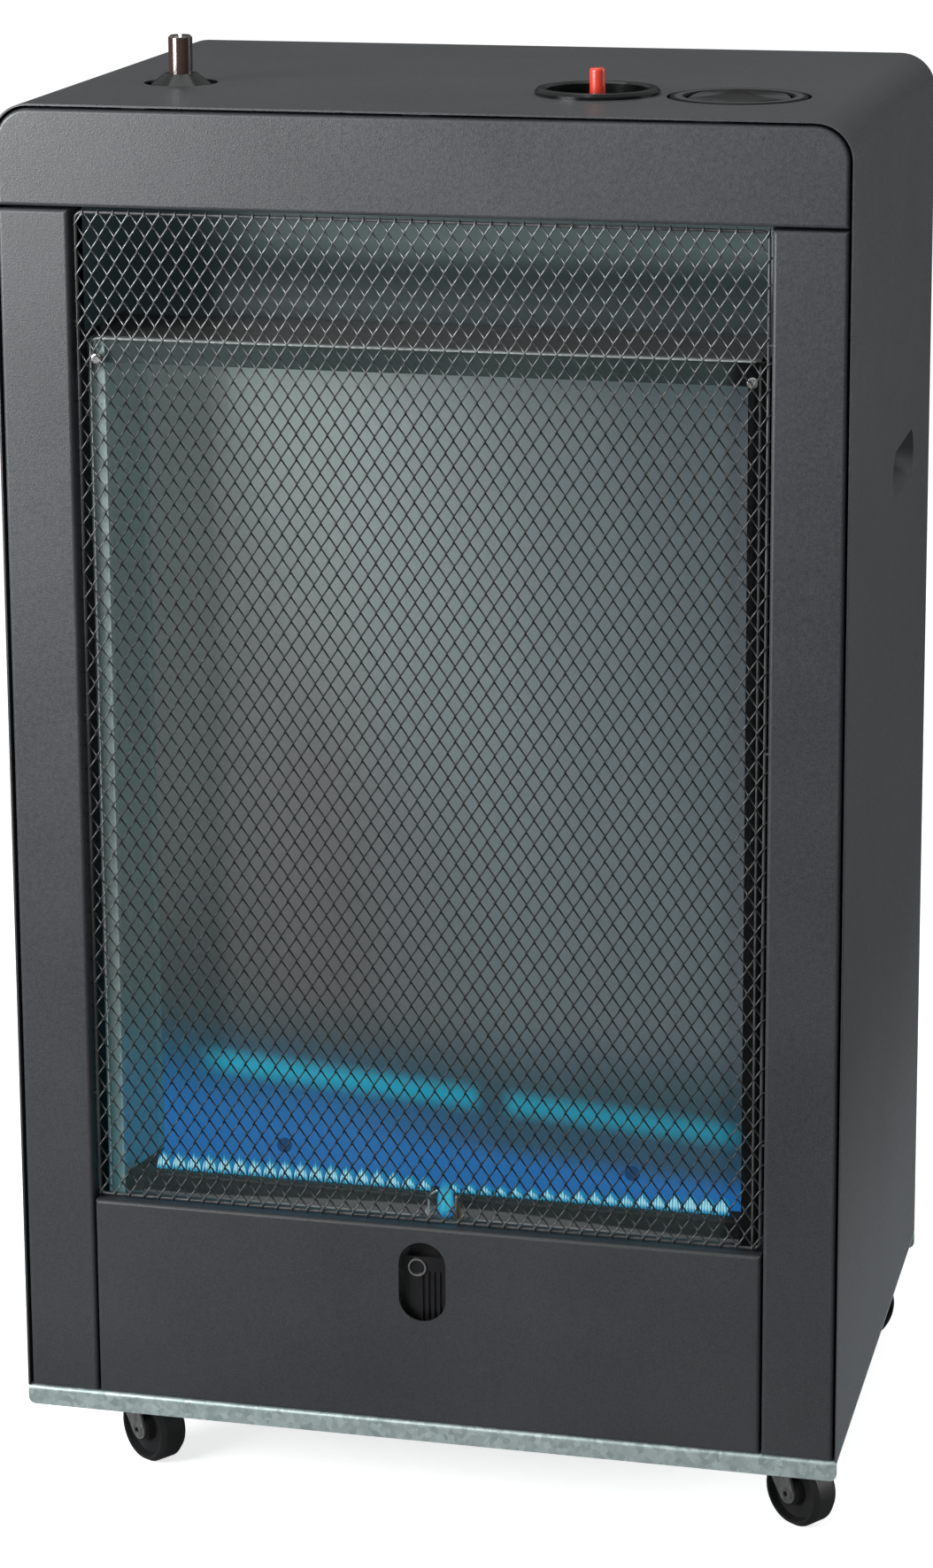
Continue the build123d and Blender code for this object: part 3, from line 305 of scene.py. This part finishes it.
def galvanised(name, dark, light, rough=0.40):
    """Hot-dip zinc: pale crystals a few millimetres across."""
    material, tree, shader, place = look(name, rough, 0.6)
    crystals = node(tree, "TexVoronoi", {"Vector": place, "Scale": 330.0, "Randomness": 1.0})
    flake = node(tree, "SeparateColor", {"Color": crystals.outputs["Color"]}).outputs
    tone = reckon(tree, "ADD", product(tree, flake["Red"], 0.55),
                  product(tree, noise(tree, place, 60.0, 3.0), 0.45))
    feed(tree, shader, Base_Color=shades(tree, tone, (0.2, dark), (0.75, light)),
         Roughness=spread(tree, flake["Green"], rough - 0.08, rough + 0.10, 0.0, 1.0))
    bump(tree, shader, flake["Blue"], 0.00004, 0.4)
    return material


def steel(name, dark, light, rough, metallic):
    """Rolled or plated steel with a faint lengthwise grain and cloudy tone."""
    material, tree, shader, place = look(name, rough, metallic)
    lines = noise(tree, place, 260.0, 3.0, (1.0, 1.0, 0.08))
    tone = product(tree, lines, noise(tree, place, 16.0, 3.0))
    feed(tree, shader, Base_Color=shades(tree, tone, (0.15, dark), (0.38, light)),
         Roughness=spread(tree, lines, rough - 0.07, rough + 0.09))
    bump(tree, shader, lines, 0.00003, 0.6)
    return material


def plastic(name, color, rough, tone=1.35, coat=0.0, specular=0.5, skin=0.00004):
    """Moulded plastic: slight mottling up to tone times the colour, and a fine skin."""
    material, tree, shader, place = look(name, rough, Coat_Weight=coat, Coat_Roughness=0.08,
                                         Specular_IOR_Level=specular)
    light = tuple(min(1.0, c * tone) for c in color)
    cloud = noise(tree, place, 60.0)
    feed(tree, shader, Base_Color=shades(tree, cloud, (0.35, color), (0.75, light)),
         Roughness=spread(tree, noise(tree, place, 240.0), rough - 0.05, rough + 0.07))
    bump(tree, shader, noise(tree, place, 900.0), skin, 0.4)
    return material


def knob_plastic(name):
    """Black knob whose hollows are painted a little greyer than the bar between them, as a painted
    sheen.
    """
    material, tree, shader, place = look(name, 0.22, Specular_IOR_Level=0.08)
    hollow_sheen = shades(tree, noise(tree, place, 60.0), (0.3, (0.034, 0.038, 0.040)),
                    (0.7, (0.052, 0.057, 0.060)))
    # the hollows' grey is a painted sheen; the bar above them is left black
    bar = height_share(tree, place, casing_top - 0.6, casing_top + 1.4)
    feed(tree, shader, Base_Color=blend(tree, bar, hollow_sheen, (0.004, 0.0045, 0.005)),
         Roughness=spread(tree, noise(tree, place, 240.0), 0.18, 0.30))
    bump(tree, shader, noise(tree, place, 900.0), 0.000006, 0.4)
    return material


def lit_enamel(name):
    """The chamber's satin back panel: a painted slanting sheen and shadow, and low down the
    painted light of the flames.
    """
    material, tree, shader, place = look(name, 0.34, 0.15, Emission_Strength=1.0)
    speck = fine_grain(tree, shader, place, 1100.0, 0.28, 0.40, 0.00004)
    x, z = axes(tree, place, "XZ")
    slant = reckon(tree, "ADD", x, product(tree, z, sheen_slope))
    aside = apart(tree, slant, sheen_line * MM)
    upper = spread(tree, z, 0.26, 1.12, 250 * MM, 630 * MM)
    # the painted sheen stops at a painted shadow line on the left, sharp at the head and softer
    # further down
    softness = spread(tree, z, 85 * MM, 3 * MM, 300 * MM, 605 * MM)
    inside = reckon(tree, "DIVIDE", reckon(tree, "SUBTRACT", x, shadow_line * MM), softness)
    lit = smooth_share(tree, inside, -0.6, 1.0)
    in_light = product(tree, mm_share(tree, aside, sheen_half, 0.0), upper)
    in_shadow = spread(tree, z, 0.55, 0.75, 250 * MM, 620 * MM)
    tone = reckon(tree, "ADD", between(tree, lit, in_shadow, in_light),
                  product(tree, reckon(tree, "SUBTRACT", speck, 0.5), 0.30))
    color = shades(tree, tone, (0.0, (0.138, 0.119, 0.117)), (0.5, (0.240, 0.240, 0.239)),
                   (1.0, (0.43, 0.49, 0.48)))
    # the base colour is painted dark blue at the foot, under the painted light of the flames
    foot = mm_share(tree, z, glow_top, tray_top + 150)

    # painted light of the flames at the foot of the panel, grey on the right, and their painted
    # reflection as a cyan band above it
    level = reckon(tree, "ADD", z, product(tree, x, band_fall))
    blue = shades(tree, mm_share(tree, level, glow_top, burner_top), (0.0, BLACK),
                  (0.28, (0.001, 0.020, 0.032)), (0.60, (0.004, 0.075, 0.150)),
                  (1.0, (0.012, 0.145, 0.44)))
    painted_grey_light = product(tree, spread(tree, x, 0.0, 0.85, -70 * MM, 30 * MM),
                         mm_share(tree, level, tray_top + 120, tray_top + 136))
    light = blend(tree, painted_grey_light, blue, (0.026, 0.058, 0.076))
    flame_reflection_band = product(tree, mm_share(tree, apart(tree, level, band_level * MM), band_half, 0.0),
                   mm_share(tree, apart(tree, x, gap_x * MM), 3.0, 14.0),
                   mm_share(tree, apart(tree, x, band_middle * MM), 160.0, 135.0),
                   spread(tree, x, 1.0, 0.62, -120 * MM, 120 * MM))
    light = blend(tree, flame_reflection_band, light, (0.0, 0.37, 0.55))
    # painted soft light on the strip in the shadow, as from the bright sheet round it
    painted_strip_light = product(tree, smooth_share(tree, inside, 1.0, -0.6),
                    mm_share(tree, z, 200.0, 400.0), 0.9)
    light = blend(tree, painted_strip_light, light, (0.064, 0.068, 0.068))
    # painted light along the head of the sheen
    painted_head_light = product(tree, lit, mm_share(tree, z, 575.0, 640.0),
                   mm_share(tree, aside, sheen_half, 50.0))
    feed(tree, shader, Base_Color=blend(tree, foot, color, (0.004, 0.014, 0.024)),
         Emission_Color=blend(tree, painted_head_light, light, (0.095, 0.110, 0.107)))
    return material


def chamber_steel(name, dark, light):
    """Plain sheet in the chamber: teal-grey on the left, painted dark as shade on the right, with
    painted highlights at its bends, a lighter painted top face and painted light.
    """
    material, tree, shader, place = look(name, 0.32, 0.5, Emission_Strength=1.0)
    fine_grain(tree, shader, place, 500.0, 0.27, 0.38)
    x, z = axes(tree, place, "XZ")
    cloud = noise(tree, place, 14.0, 3.0, (1.0, 1.0, 0.35))
    tone = shades(tree, cloud, (0.35, dark), (0.7, light))
    # painted shade on the right
    tone = blend(tree, mm_share(tree, x, 158.0, 166.0), tone, (0.012, 0.014, 0.015))
    # painted highlights along the left wall's bends
    for bend, half in wall_bends:
        bend_highlight = mm_share(tree, apart(tree, x, bend * MM), half, 0.0)
        tone = blend(tree, bend_highlight, tone, (0.40, 0.50, 0.49))
    # the top face is painted a lighter colour, as lit from above
    edge = mm_share(tree, z, chamber_head - 0.5, chamber_head + 0.5)
    # painted light on the left wall, as from the sheet round it and lower down from the flames
    soft = blend(tree, mm_share(tree, x, -100.0, -150.0), BLACK, (0.034, 0.044, 0.044))
    soft = blend(tree, mm_share(tree, z, chamber_head - 16.0, chamber_head - 20.0), BLACK, soft)
    glow = blend(tree, mm_share(tree, z, tray_top + 250, tray_top + 130), soft,
                 (0.006, 0.062, 0.076))
    feed(tree, shader, Base_Color=blend(tree, edge, tone, (0.16, 0.157, 0.150)),
         Emission_Color=blend(tree, mm_share(tree, x, 155.0, 164.0), glow, BLACK))
    return material


def hood_steel(name):
    """The hood: greenish grey above, with painted shade on its left, a nearly black painted shade
    where it dives behind the chamber, and a faint painted glow.
    """
    # a faint painted glow keeps the hood's shade from pure black
    material, tree, shader, place = look(name, 0.36, 0.4, Emission_Strength=1.0,
                                         Emission_Color=(0.006, 0.010, 0.011, 1.0))
    fine_grain(tree, shader, place, 600.0, 0.32, 0.42)
    x, z = axes(tree, place, "XZ")
    pale = shades(tree, noise(tree, place, 9.0, 3.0), (0.3, (0.16, 0.21, 0.21)),
                  (0.7, (0.27, 0.335, 0.335)))
    # painted shade on the left of the hood
    pale_with_left_shade = blend(tree, mm_share(tree, x, -135.0, -85.0), (0.09, 0.115, 0.12), pale)
    # painted shade, nearly black, below where the hood dives behind the chamber
    feed(tree, shader,
         Base_Color=blend(tree, mm_share(tree, z, 674.0, 700.0), (0.030, 0.039, 0.040), pale_with_left_shade))
    return material


def clear_glass(name):
    """Ceramic glass with a faint green veil, painted nearly black as shade at its right end, and
    pale ground edges.
    """
    material, tree, shader, place = look(name, 0.04, IOR=1.5)
    x, z = axes(tree, place, "XZ")
    smear = noise(tree, place, 22.0, 4.0, (1.0, 1.0, 0.3))
    veil = shades(tree, smear, (0.3, (0.045, 0.078, 0.076)), (0.8, (0.085, 0.125, 0.121)))
    # the veil is painted nearly black at the right end, as shade
    veil = blend(tree, mm_share(tree, x, 156.0, 166.0), veil, (0.004, 0.005, 0.005))
    edge = reckon(tree, "MAXIMUM", mm_share(tree, z, chamber_head, chamber_head + 0.4),
                  mm_share(tree, apart(tree, x), glass_half - 0.4, glass_half))
    feed(tree, shader, Base_Color=blend(tree, edge, veil, (0.44, 0.48, 0.475)),
         Roughness=spread(tree, smear, 0.02, 0.07),
         Alpha=spread(tree, edge, 0.15, 0.75, 0.0, 1.0))
    return material


def guard_wire(name):
    """Plated wire, dark over the middle of the guard and painted brighter, as lit, at its head,
    its foot and its sides.
    """
    material, tree, shader, place = look(name, 0.42, 0.55)
    speck = fine_grain(tree, shader, place, 900.0, 0.36, 0.48)
    x, z = axes(tree, place, "XZ")
    # painted light: the wire is lighter at the head, less so at the foot and along the sides
    lit_share = mm_share(tree, z, 610.0, 665.0)
    for share in (product(tree, mm_share(tree, z, 196.0, 182.0), 0.40),
                  product(tree, mm_share(tree, apart(tree, x), 164.0, 170.0), 0.32)):
        lit_share = reckon(tree, "MAXIMUM", lit_share, share)
    shaded_tone = shades(tree, speck, (0.35, (0.020, 0.021, 0.022)), (0.70, (0.052, 0.054, 0.055)))
    lit_tone = shades(tree, speck, (0.35, (0.13, 0.136, 0.137)), (0.70, (0.235, 0.245, 0.247)))
    feed(tree, shader, Base_Color=blend(tree, lit_share, shaded_tone, lit_tone))
    return material


def shelf_sheet(name):
    """Dark sheet under the burner with a lighter painted top, a long painted highlight on it, and
    a faint painted glow.
    """
    material, tree, shader, place = look(name, 0.34, 0.4, Emission_Strength=1.0)
    fine_grain(tree, shader, place, 700.0, 0.28, 0.40)
    x, z = axes(tree, place, "XZ")
    cloud = noise(tree, place, 30.0, 3.0, (0.25, 1.0, 1.0))
    dark = shades(tree, cloud, (0.35, (0.050, 0.050, 0.053)), (0.7, (0.075, 0.075, 0.079)))
    pale = shades(tree, cloud, (0.30, (0.30, 0.31, 0.31)), (0.7, (0.50, 0.51, 0.51)))
    # the top face is painted lighter, as lit, and carries a painted highlight; the rest has a
    # faint painted glow
    lit_top = mm_share(tree, z, shelf_top - 0.6, shelf_top - 0.2)
    painted_highlight = product(tree, lit_top, mm_share(tree, apart(tree, x), 155.0, 60.0))
    feed(tree, shader, Base_Color=blend(tree, lit_top, dark, pale),
         Emission_Color=blend(tree, painted_highlight, (0.010, 0.010, 0.012), (0.125, 0.130, 0.130)))
    return material


def burner_sheet(name):
    """Black burner whose foot carries a painted highlight like the shelf's, and a faint painted
    glow.
    """
    material, tree, shader, place = look(name, 0.42, 0.5, Emission_Strength=1.0)
    speck = fine_grain(tree, shader, place, 700.0, 0.36, 0.48)
    x, y, z = axes(tree, place, "XYZ")
    # a painted highlight shaped as a lens: thickest in the middle, running out at both ends
    swell = product(tree, mm_share(tree, apart(tree, x), 150.0, 20.0), 4.5 * MM)
    crest = reckon(tree, "ADD", swell, (shelf_top + 0.5) * MM)
    lens = mm_share(tree, reckon(tree, "SUBTRACT", crest, z), 0.0, 1.2)
    middle_y = front_y + burner_depth
    front = mm_share(tree, y, middle_y - 6.0, middle_y - 6.6)
    feed(tree, shader,
         Base_Color=shades(tree, speck, (0.3, (0.010, 0.010, 0.011)),
                           (0.7, (0.030, 0.029, 0.028))),
         Emission_Color=blend(tree, product(tree, lens, front), (0.003, 0.003, 0.004),
                              (0.085, 0.088, 0.088)))
    return material


def chamber_screw(name):
    """Bright pan heads at the glass, and heads low on the panel painted dark blue with a painted
    blue glow, as lit by the flames.
    """
    material, tree, shader, place = look(name, 0.18, 0.9, Emission_Strength=1.0)
    speck = fine_grain(tree, shader, place, 1200.0, 0.14, 0.26, 0.00001)
    bright = shades(tree, speck, (0.3, (0.62, 0.62, 0.60)), (0.7, (0.84, 0.84, 0.82)))
    # below these heights the heads are painted dark blue and given a painted blue glow of the
    # flames
    low = height_share(tree, place, *flame_lit_screws)
    feed(tree, shader, Base_Color=blend(tree, low, bright, (0.004, 0.016, 0.05)),
         Emission_Color=blend(tree, low, BLACK, (0.004, 0.045, 0.16)))
    return material


def burning(name, foot, tall, core, edge, strength, solid=0.95):
    """Gas flame: a pale core inside a blue-cyan edge, clear at the tip."""
    material, tree, shader, place = look(name, 1.0, Base_Color=(*BLACK, 1.0),
                                         Specular_IOR_Level=0.0, Emission_Strength=strength)
    share = height_share(tree, place, foot, foot + tall)
    rim = node(tree, "LayerWeight", {"Blend": 0.35}).outputs["Facing"]
    flicker = noise(tree, place, 900.0, 2.0, (1.0, 1.0, 0.3))
    heart = shades(tree, share, (0.0, edge), (0.16, core), (0.62, core), (1.0, edge))
    color = blend(tree, spread(tree, rim, 0.0, 1.0, 0.12, 0.75), heart, edge)
    dense, thin = (solid,) * 3, (solid * 0.35,) * 3
    feed(tree, shader,
         Emission_Color=blend(tree, spread(tree, flicker, 0.0, 0.35), color, edge),
         Alpha=shades(tree, share, (0.0, dense), (0.65, dense), (1.0, thin)))
    return material


coat = powder_coat("charcoal_coat")
ring_coat = powder_coat("bezel_coat", bezel_ring)
zinc = galvanised("galvanised", (0.38, 0.47, 0.465), (0.58, 0.69, 0.68))
shield_zinc = galvanised("galvanised_inside", (0.30, 0.34, 0.33), (0.44, 0.49, 0.48), 0.44)
# one chamber sheet in two painted copies: lighter on the walls, as lit, and much darker on the
# ledge, as in shade
wall_steel = chamber_steel("chamber_steel", (0.27, 0.33, 0.33), (0.36, 0.43, 0.425))
ledge_steel = chamber_steel("ledge_steel", (0.030, 0.036, 0.036), (0.045, 0.053, 0.053))
hood_look = hood_steel("hood_steel")
shelf_look = shelf_sheet("shelf_sheet")
tube_steel = steel("tube_steel", (0.16, 0.165, 0.17), (0.30, 0.31, 0.32), 0.34, 0.8)
burner_steel = burner_sheet("burner_steel")
wire_look = guard_wire("mesh_wire")
rod_look = steel("frame_rod", (0.050, 0.052, 0.053), (0.095, 0.098, 0.10), 0.38, 0.5)
fire_screws = chamber_screw("chamber_screws")
screw_look = steel("plated_screws", (0.55, 0.55, 0.53), (0.8, 0.8, 0.78), 0.2, 1.0)
plated = steel("plated_steel", (0.42, 0.42, 0.40), (0.66, 0.66, 0.64), 0.26, 0.95)
castor_zinc = steel("zinc_plate", (0.38, 0.39, 0.38), (0.62, 0.63, 0.61), 0.33, 0.9)
brass = steel("brass", (0.46, 0.33, 0.14), (0.70, 0.54, 0.27), 0.28, 0.95)
copper = steel("copper_pipe", (0.42, 0.20, 0.10), (0.70, 0.40, 0.24), 0.32, 0.95)
pipe_steel = steel("steel_pipe", (0.42, 0.44, 0.45), (0.62, 0.64, 0.65), 0.36, 0.9)
black = plastic("black_plastic", (0.006, 0.007, 0.007), 0.16, specular=0.28, skin=0.000006)
knob_look = knob_plastic("knob_plastic")
brown = plastic("brown_plastic", (0.030, 0.018, 0.015), 0.16, coat=0.6)
red = plastic("red_plastic", (0.58, 0.045, 0.025), 0.30, 1.15, coat=0.3)
moulded = plastic("switch_plastic", (0.008, 0.008, 0.009), 0.34, coat=0.2)
tyre = plastic("castor_rubber", (0.012, 0.012, 0.013), 0.42, 1.6)
silicone = plastic("silicone_lead", (0.50, 0.50, 0.47), 0.55, 1.2)
glaze = plastic("ceramic", (0.42, 0.42, 0.40), 0.22, 1.2, coat=0.4)
enamel = lit_enamel("back_panel")
glass = clear_glass("fire_glass")

corners = ("front_left", "front_right", "rear_left", "rear_right")
looks = {
    coat: ["casing_wrap", "top_fascia", "left_stile", "right_stile", "lower_front_panel",
           "rear_cover"],
    ring_coat: ["knob_bezel"],
    zinc: ["base_tray"],
    shield_zinc: ["heat_shield", "control_rail", "tip_switch_bracket"],
    hood_look: ["upper_hood"],
    wall_steel: ["chamber_side_left", "chamber_side_right"],
    ledge_steel: ["chamber_top_ledge"],
    shelf_look: ["burner_shelf"],
    tube_steel: ["mixing_tube"],
    enamel: ["chamber_back_panel"],
    burner_steel: ["burner"],
    glass: ["glass_panel"],
    wire_look: ["mesh_guard"],
    rod_look: ["mesh_frame_rod"],
    fire_screws: ["chamber_screws"],
    screw_look: ["rear_cover_screws"],
    knob_look: ["control_knob"],
    black: ["safety_cup", "igniter_flange", "igniter_body"],
    moulded: ["tip_switch_housing"],
    brown: ["igniter_button"],
    red: ["safety_button"],
    plated: ["valve_spindle", "tip_switch_ring", "pilot_bracket", "pilot_burner"]
            + [f"castor_{corner}_axle" for corner in corners],
    brass: ["gas_valve", "safety_valve", "hose_nozzle", "injector"],
    pipe_steel: ["gas_pipes"],
    copper: ["pilot_pipe", "thermocouple"],
    silicone: ["ignition_lead"],
    glaze: ["spark_electrode"],
    castor_zinc: [f"castor_{corner}_{piece}" for corner in corners for piece in ("fork", "mount")],
    tyre: [f"castor_{corner}_wheel" for corner in corners],
}
for material, names in looks.items():
    for name in names:
        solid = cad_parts[name]
        solid.data.materials.clear()
        solid.data.materials.append(material)

# ================= pieces made here =================


def add_mesh(name, points, faces, material, body="heater"):
    """A new smooth mesh piece that rides on a CAD body."""
    data = bpy.data.meshes.new(name)
    data.from_pydata([tuple(p) for p in points], [], [tuple(f) for f in faces])
    data.materials.append(material)
    data.polygons.foreach_set("use_smooth", [True] * len(data.polygons))
    data.update()
    piece = bpy.data.objects.new(name, data)
    bpy.context.scene.collection.objects.link(piece)
    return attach(piece, body)


def between_rings(first, sides):
    """The faces between the ring of points that starts at first and the ring after it."""
    for k in range(sides):
        a, b = first + k, first + (k + 1) % sides
        yield a, b, b + sides, a + sides


def tube(path, radius, sides=5):
    """The points and faces of a closed round wire along a path, as arrays."""
    path = np.array(path, float)
    ahead = np.gradient(path, axis=0)
    ahead /= np.linalg.norm(ahead, axis=1)[:, None]
    askew = (0.31, 0.52, 0.79)
    side = np.cross(ahead[0], askew)
    side /= np.linalg.norm(side)
    rings = []
    angles = np.arange(sides) * 2 * math.pi / sides
    for centre, direction in zip(path, ahead):
        side = side - direction * (side @ direction)
        side /= np.linalg.norm(side)
        up = np.cross(direction, side)
        spokes = np.outer(np.cos(angles), side) + np.outer(np.sin(angles), up)
        rings.append(centre + radius * spokes)
    faces = []
    last = (len(path) - 1) * sides
    for first in range(0, last, sides):
        faces.extend(between_rings(first, sides))
    faces.append(tuple(range(sides))[::-1])
    faces.append(tuple(range(last, last + sides)))
    return np.concatenate(rings), faces


# ---- woven guard: flattened spirals side by side, each hooked into the next ----
picket_count = round(2 * rod_half / (diamond_wide / 2))
picket_pitch = 2 * rod_half / picket_count
turns = round((mesh_head - mesh_foot) / (diamond_tall / 2))
rise = (mesh_head - mesh_foot) / turns


def picket(left_hook, right_hook, phase):
    """The path of one spiral from foot rod to head rod, its left side at x 0.

    Neighbours differ in phase.
    """
    path = []
    for step in range(turns + 1):
        z = mesh_foot + step * rise
        leans_right = (step + phase) % 2 == 0
        depth, other = strand_back, strand_front
        start, end, bend = picket_pitch, 0.0, picket_pitch + right_hook
        if leans_right:
            depth, other = strand_front, strand_back
            start, end, bend = 0.0, picket_pitch, -left_hook
        if 0 < step < turns:
            path.append((bend, rod_depth, z))
        elif step == 0:
            # the cut end curls under the foot rod
            path.extend([(start, other, z + end_stop), (start, other, z - end_curl),
                         (start, rod_depth, z - end_turn)])
        if step == turns:
            # and the other one over the head rod
            path.extend([(start, other, z + end_curl), (start, rod_depth, z + end_turn),
                         (start, depth, z + end_curl), (start, depth, z - end_stop)])
        else:
            # a strand runs steeply out of one bend and into the next, so the diamonds are rounded
            for share in (0.13, 0.5, 0.87):
                eased = share - strand_curve * math.sin(2 * math.pi * share)
                path.append((start + (end - start) * eased, depth, z + share * rise))
    return [at(*point) for point in path]


third = picket_count // 3
for part, (first, last) in enumerate(((0, third), (third, 2 * third), (2 * third, picket_count))):
    all_points, all_faces = [], []
    for index in range(first, last):
        left = rod_hook if index == 0 else loop_hook
        right = rod_hook if index == picket_count - 1 else loop_hook
        points, faces = tube(picket(left, right, index % 2), wire_radius * MM)
        base = sum(len(p) for p in all_points)
        all_points.append(points + np.array(((-rod_half + index * picket_pitch) * MM, 0, 0)))
        all_faces.extend(tuple(i + base for i in face) for face in faces)
    woven = add_mesh(f"woven_guard_{part + 1}", np.concatenate(all_points), all_faces, wire_look)
    if part == 0:
        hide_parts("mesh_guard")

# ---- flames: a cluster of thin tongues inside a veil over each group of ports ----
flame_look = burning("burner_flame", burner_top, 11.5, core=(0.52, 0.92, 0.98),
                     edge=(0.003, 0.30, 0.52), strength=1.1)
veil_look = burning("flame_veil", burner_top, 10.0, core=(0.010, 0.36, 0.56),
                    edge=(0.002, 0.16, 0.44), strength=1.0, solid=0.55)
pilot_look = burning("pilot_flame", shelf_top + 2.0, 25.0, core=(0.05, 0.55, 0.70),
                     edge=(0.003, 0.14, 0.42), strength=1.1, solid=0.8)
rng = np.random.default_rng(7)


def tongue(centre, depth, foot, tall, wide, deep, lean=0.0, sides=8, rows=7):
    """The points and faces of one flame tongue: a pointed drop on an oval foot."""
    points, faces = [], []
    for row in range(rows):
        share = row / rows
        # the drop is a sine from its swollen foot, at 0.3 of the half wave, to its tip
        swell = math.sin(math.pi * (0.30 + 0.70 * share)) ** 0.8
        for k in range(sides):
            a = 2 * math.pi * k / sides
            points.append(at(centre + lean * share + wide * swell * math.cos(a),
                             depth + deep * swell * math.sin(a), foot + tall * share))
    points.append(at(centre + lean, depth, foot + tall))
    last = (rows - 1) * sides
    for first in range(0, last, sides):
        faces.extend(between_rings(first, sides))
    faces.extend((last + k, last + (k + 1) % sides, last + sides) for k in range(sides))
    faces.append(tuple(range(sides))[::-1])
    return points, faces


def join(meshes):
    """Several point and face lists as one."""
    points, faces = [], []
    for more_points, more_faces in meshes:
        base = len(points)
        points.extend(more_points)
        faces.extend(tuple(i + base for i in face) for face in more_faces)
    return points, faces


def flame_height(side, cluster):
    """Tall flames on the left that sink towards the gap, and a low fringe on the right."""
    late = late_change * max(0, cluster - late_cluster)
    if side < 0:
        return left_height - late
    return right_height + right_rise * cluster + late


half_run = (port_clusters - 1) * port_pitch / 2
run_middle = port_gap / 2 + half_run + cluster_half
tongue_pitch = 1.75
tongue_heights = (1.0, 0.74, 0.50)  # of the middle tongue, its neighbours and the outer ones
tongues, veils = [], []
for side in (-1, 1):
    for cluster in range(port_clusters):
        x = side * run_middle - half_run + cluster * port_pitch
        tall = flame_height(side, cluster)
        veils.append(tongue(x, burner_depth + 1.5, flame_foot, tall * 0.92, wide=4.1, deep=2.6))
        for step in (-2, -1, 0, 1, 2):
            reach = tall * tongue_heights[abs(step)] * rng.uniform(0.9, 1.1)
            depth = burner_depth - 1.5 + rng.uniform(-0.4, 0.4)
            lean = -step * 0.5 + rng.uniform(-0.2, 0.2)
            tongues.append(tongue(x + step * tongue_pitch, depth, flame_foot, reach,
                                  wide=0.80 - 0.12 * abs(step), deep=1.2, lean=lean))
add_mesh("burner_flames", *join(tongues), flame_look)
add_mesh("flame_veils", *join(veils), veil_look)
pilot_tongues = [tongue(pilot_x, pilot_depth, shelf_top + 2.5, 25.0,
                        wide=4.7, deep=4.7, lean=0.4),
                 tongue(pilot_x - 0.6, pilot_depth - 4.9, shelf_top + 4.0, 15.0,
                        wide=1.6, deep=1.0, lean=1.0)]
add_mesh("pilot_flame", *join(pilot_tongues), pilot_look)

# ================= studio =================

floor_data = bpy.data.meshes.new("floor")
floor_half = 30.0
floor_corners = [(sx * floor_half, sy * floor_half, 0)
                 for sx, sy in ((-1, -1), (1, -1), (1, 1), (-1, 1))]
floor_data.from_pydata(floor_corners, [], [(0, 1, 2, 3)])
floor = bpy.data.objects.new("floor", floor_data)
bpy.context.scene.collection.objects.link(floor)


def seen_directly(tree):
    """1 for camera and transmission rays and 0 for the rays that light the object."""
    path = node(tree, "LightPath").outputs
    return reckon(tree, "MAXIMUM", path["Is Camera Ray"], path["Is Transmission Ray"])


floor_look, tree, shader, place = look("floor", 0.9, Specular_IOR_Level=0.1,
                                       Emission_Color=(*WHITE, 1.0))
glossy = node(tree, "LightPath").outputs["Is Glossy Ray"]
feed(tree, shader, Base_Color=blend(tree, glossy, (0.80, 0.80, 0.80), (0.16, 0.165, 0.17)),
     Emission_Strength=product(tree, seen_directly(tree), 0.72))
floor_data.materials.append(floor_look)

world = bpy.data.worlds.new("studio")
bpy.context.scene.world = world
world.use_nodes = True
tree = world.node_tree
background = tree.nodes["Background"]
background.inputs["Color"].default_value = (*WHITE, 1.0)
# white to the eye, a weak even light on the object, and reflections of a studio that is dark at
# the level of the eye and pale overhead
glossy = node(tree, "LightPath").outputs["Is Glossy Ray"]
upward = axes(tree, node(tree, "TexCoord").outputs["Generated"], "Z")[0]
ceiling = spread(tree, upward, 0.05, 0.62, 0.14, 0.72)
dim = between(tree, glossy, 0.42, ceiling)
feed(tree, background, Strength=reckon(tree, "MAXIMUM", seen_directly(tree), dim))


def softbox(name, place, target, wide, tall, power, beam=180):
    """A soft rectangular lamp that looks at a point, with its beam in degrees."""
    data = bpy.data.lights.new(name, "AREA")
    data.shape = "RECTANGLE"
    data.size = wide
    data.size_y = tall
    data.energy = power
    data.spread = math.radians(beam)
    lamp = bpy.data.objects.new(name, data)
    bpy.context.scene.collection.objects.link(lamp)
    lamp.location = place
    lamp.rotation_mode = "QUATERNION"
    lamp.rotation_quaternion = (Vector(target) - Vector(place)).to_track_quat("-Z", "Y")


softbox("key", (-1.25, -1.35, 1.0), (-0.42, -0.07, 1.13), wide=0.9, tall=0.9, power=27, beam=104)
softbox("side", (2.6, 0.9, 0.9), (0.2, 0, 0.4), wide=1.4, tall=1.8, power=34)
softbox("top", (-0.3, 0.2, 3.0), (0, 0, 0.4), wide=2.0, tall=1.6, power=18)

bpy.context.scene.view_settings.view_transform = "Standard"
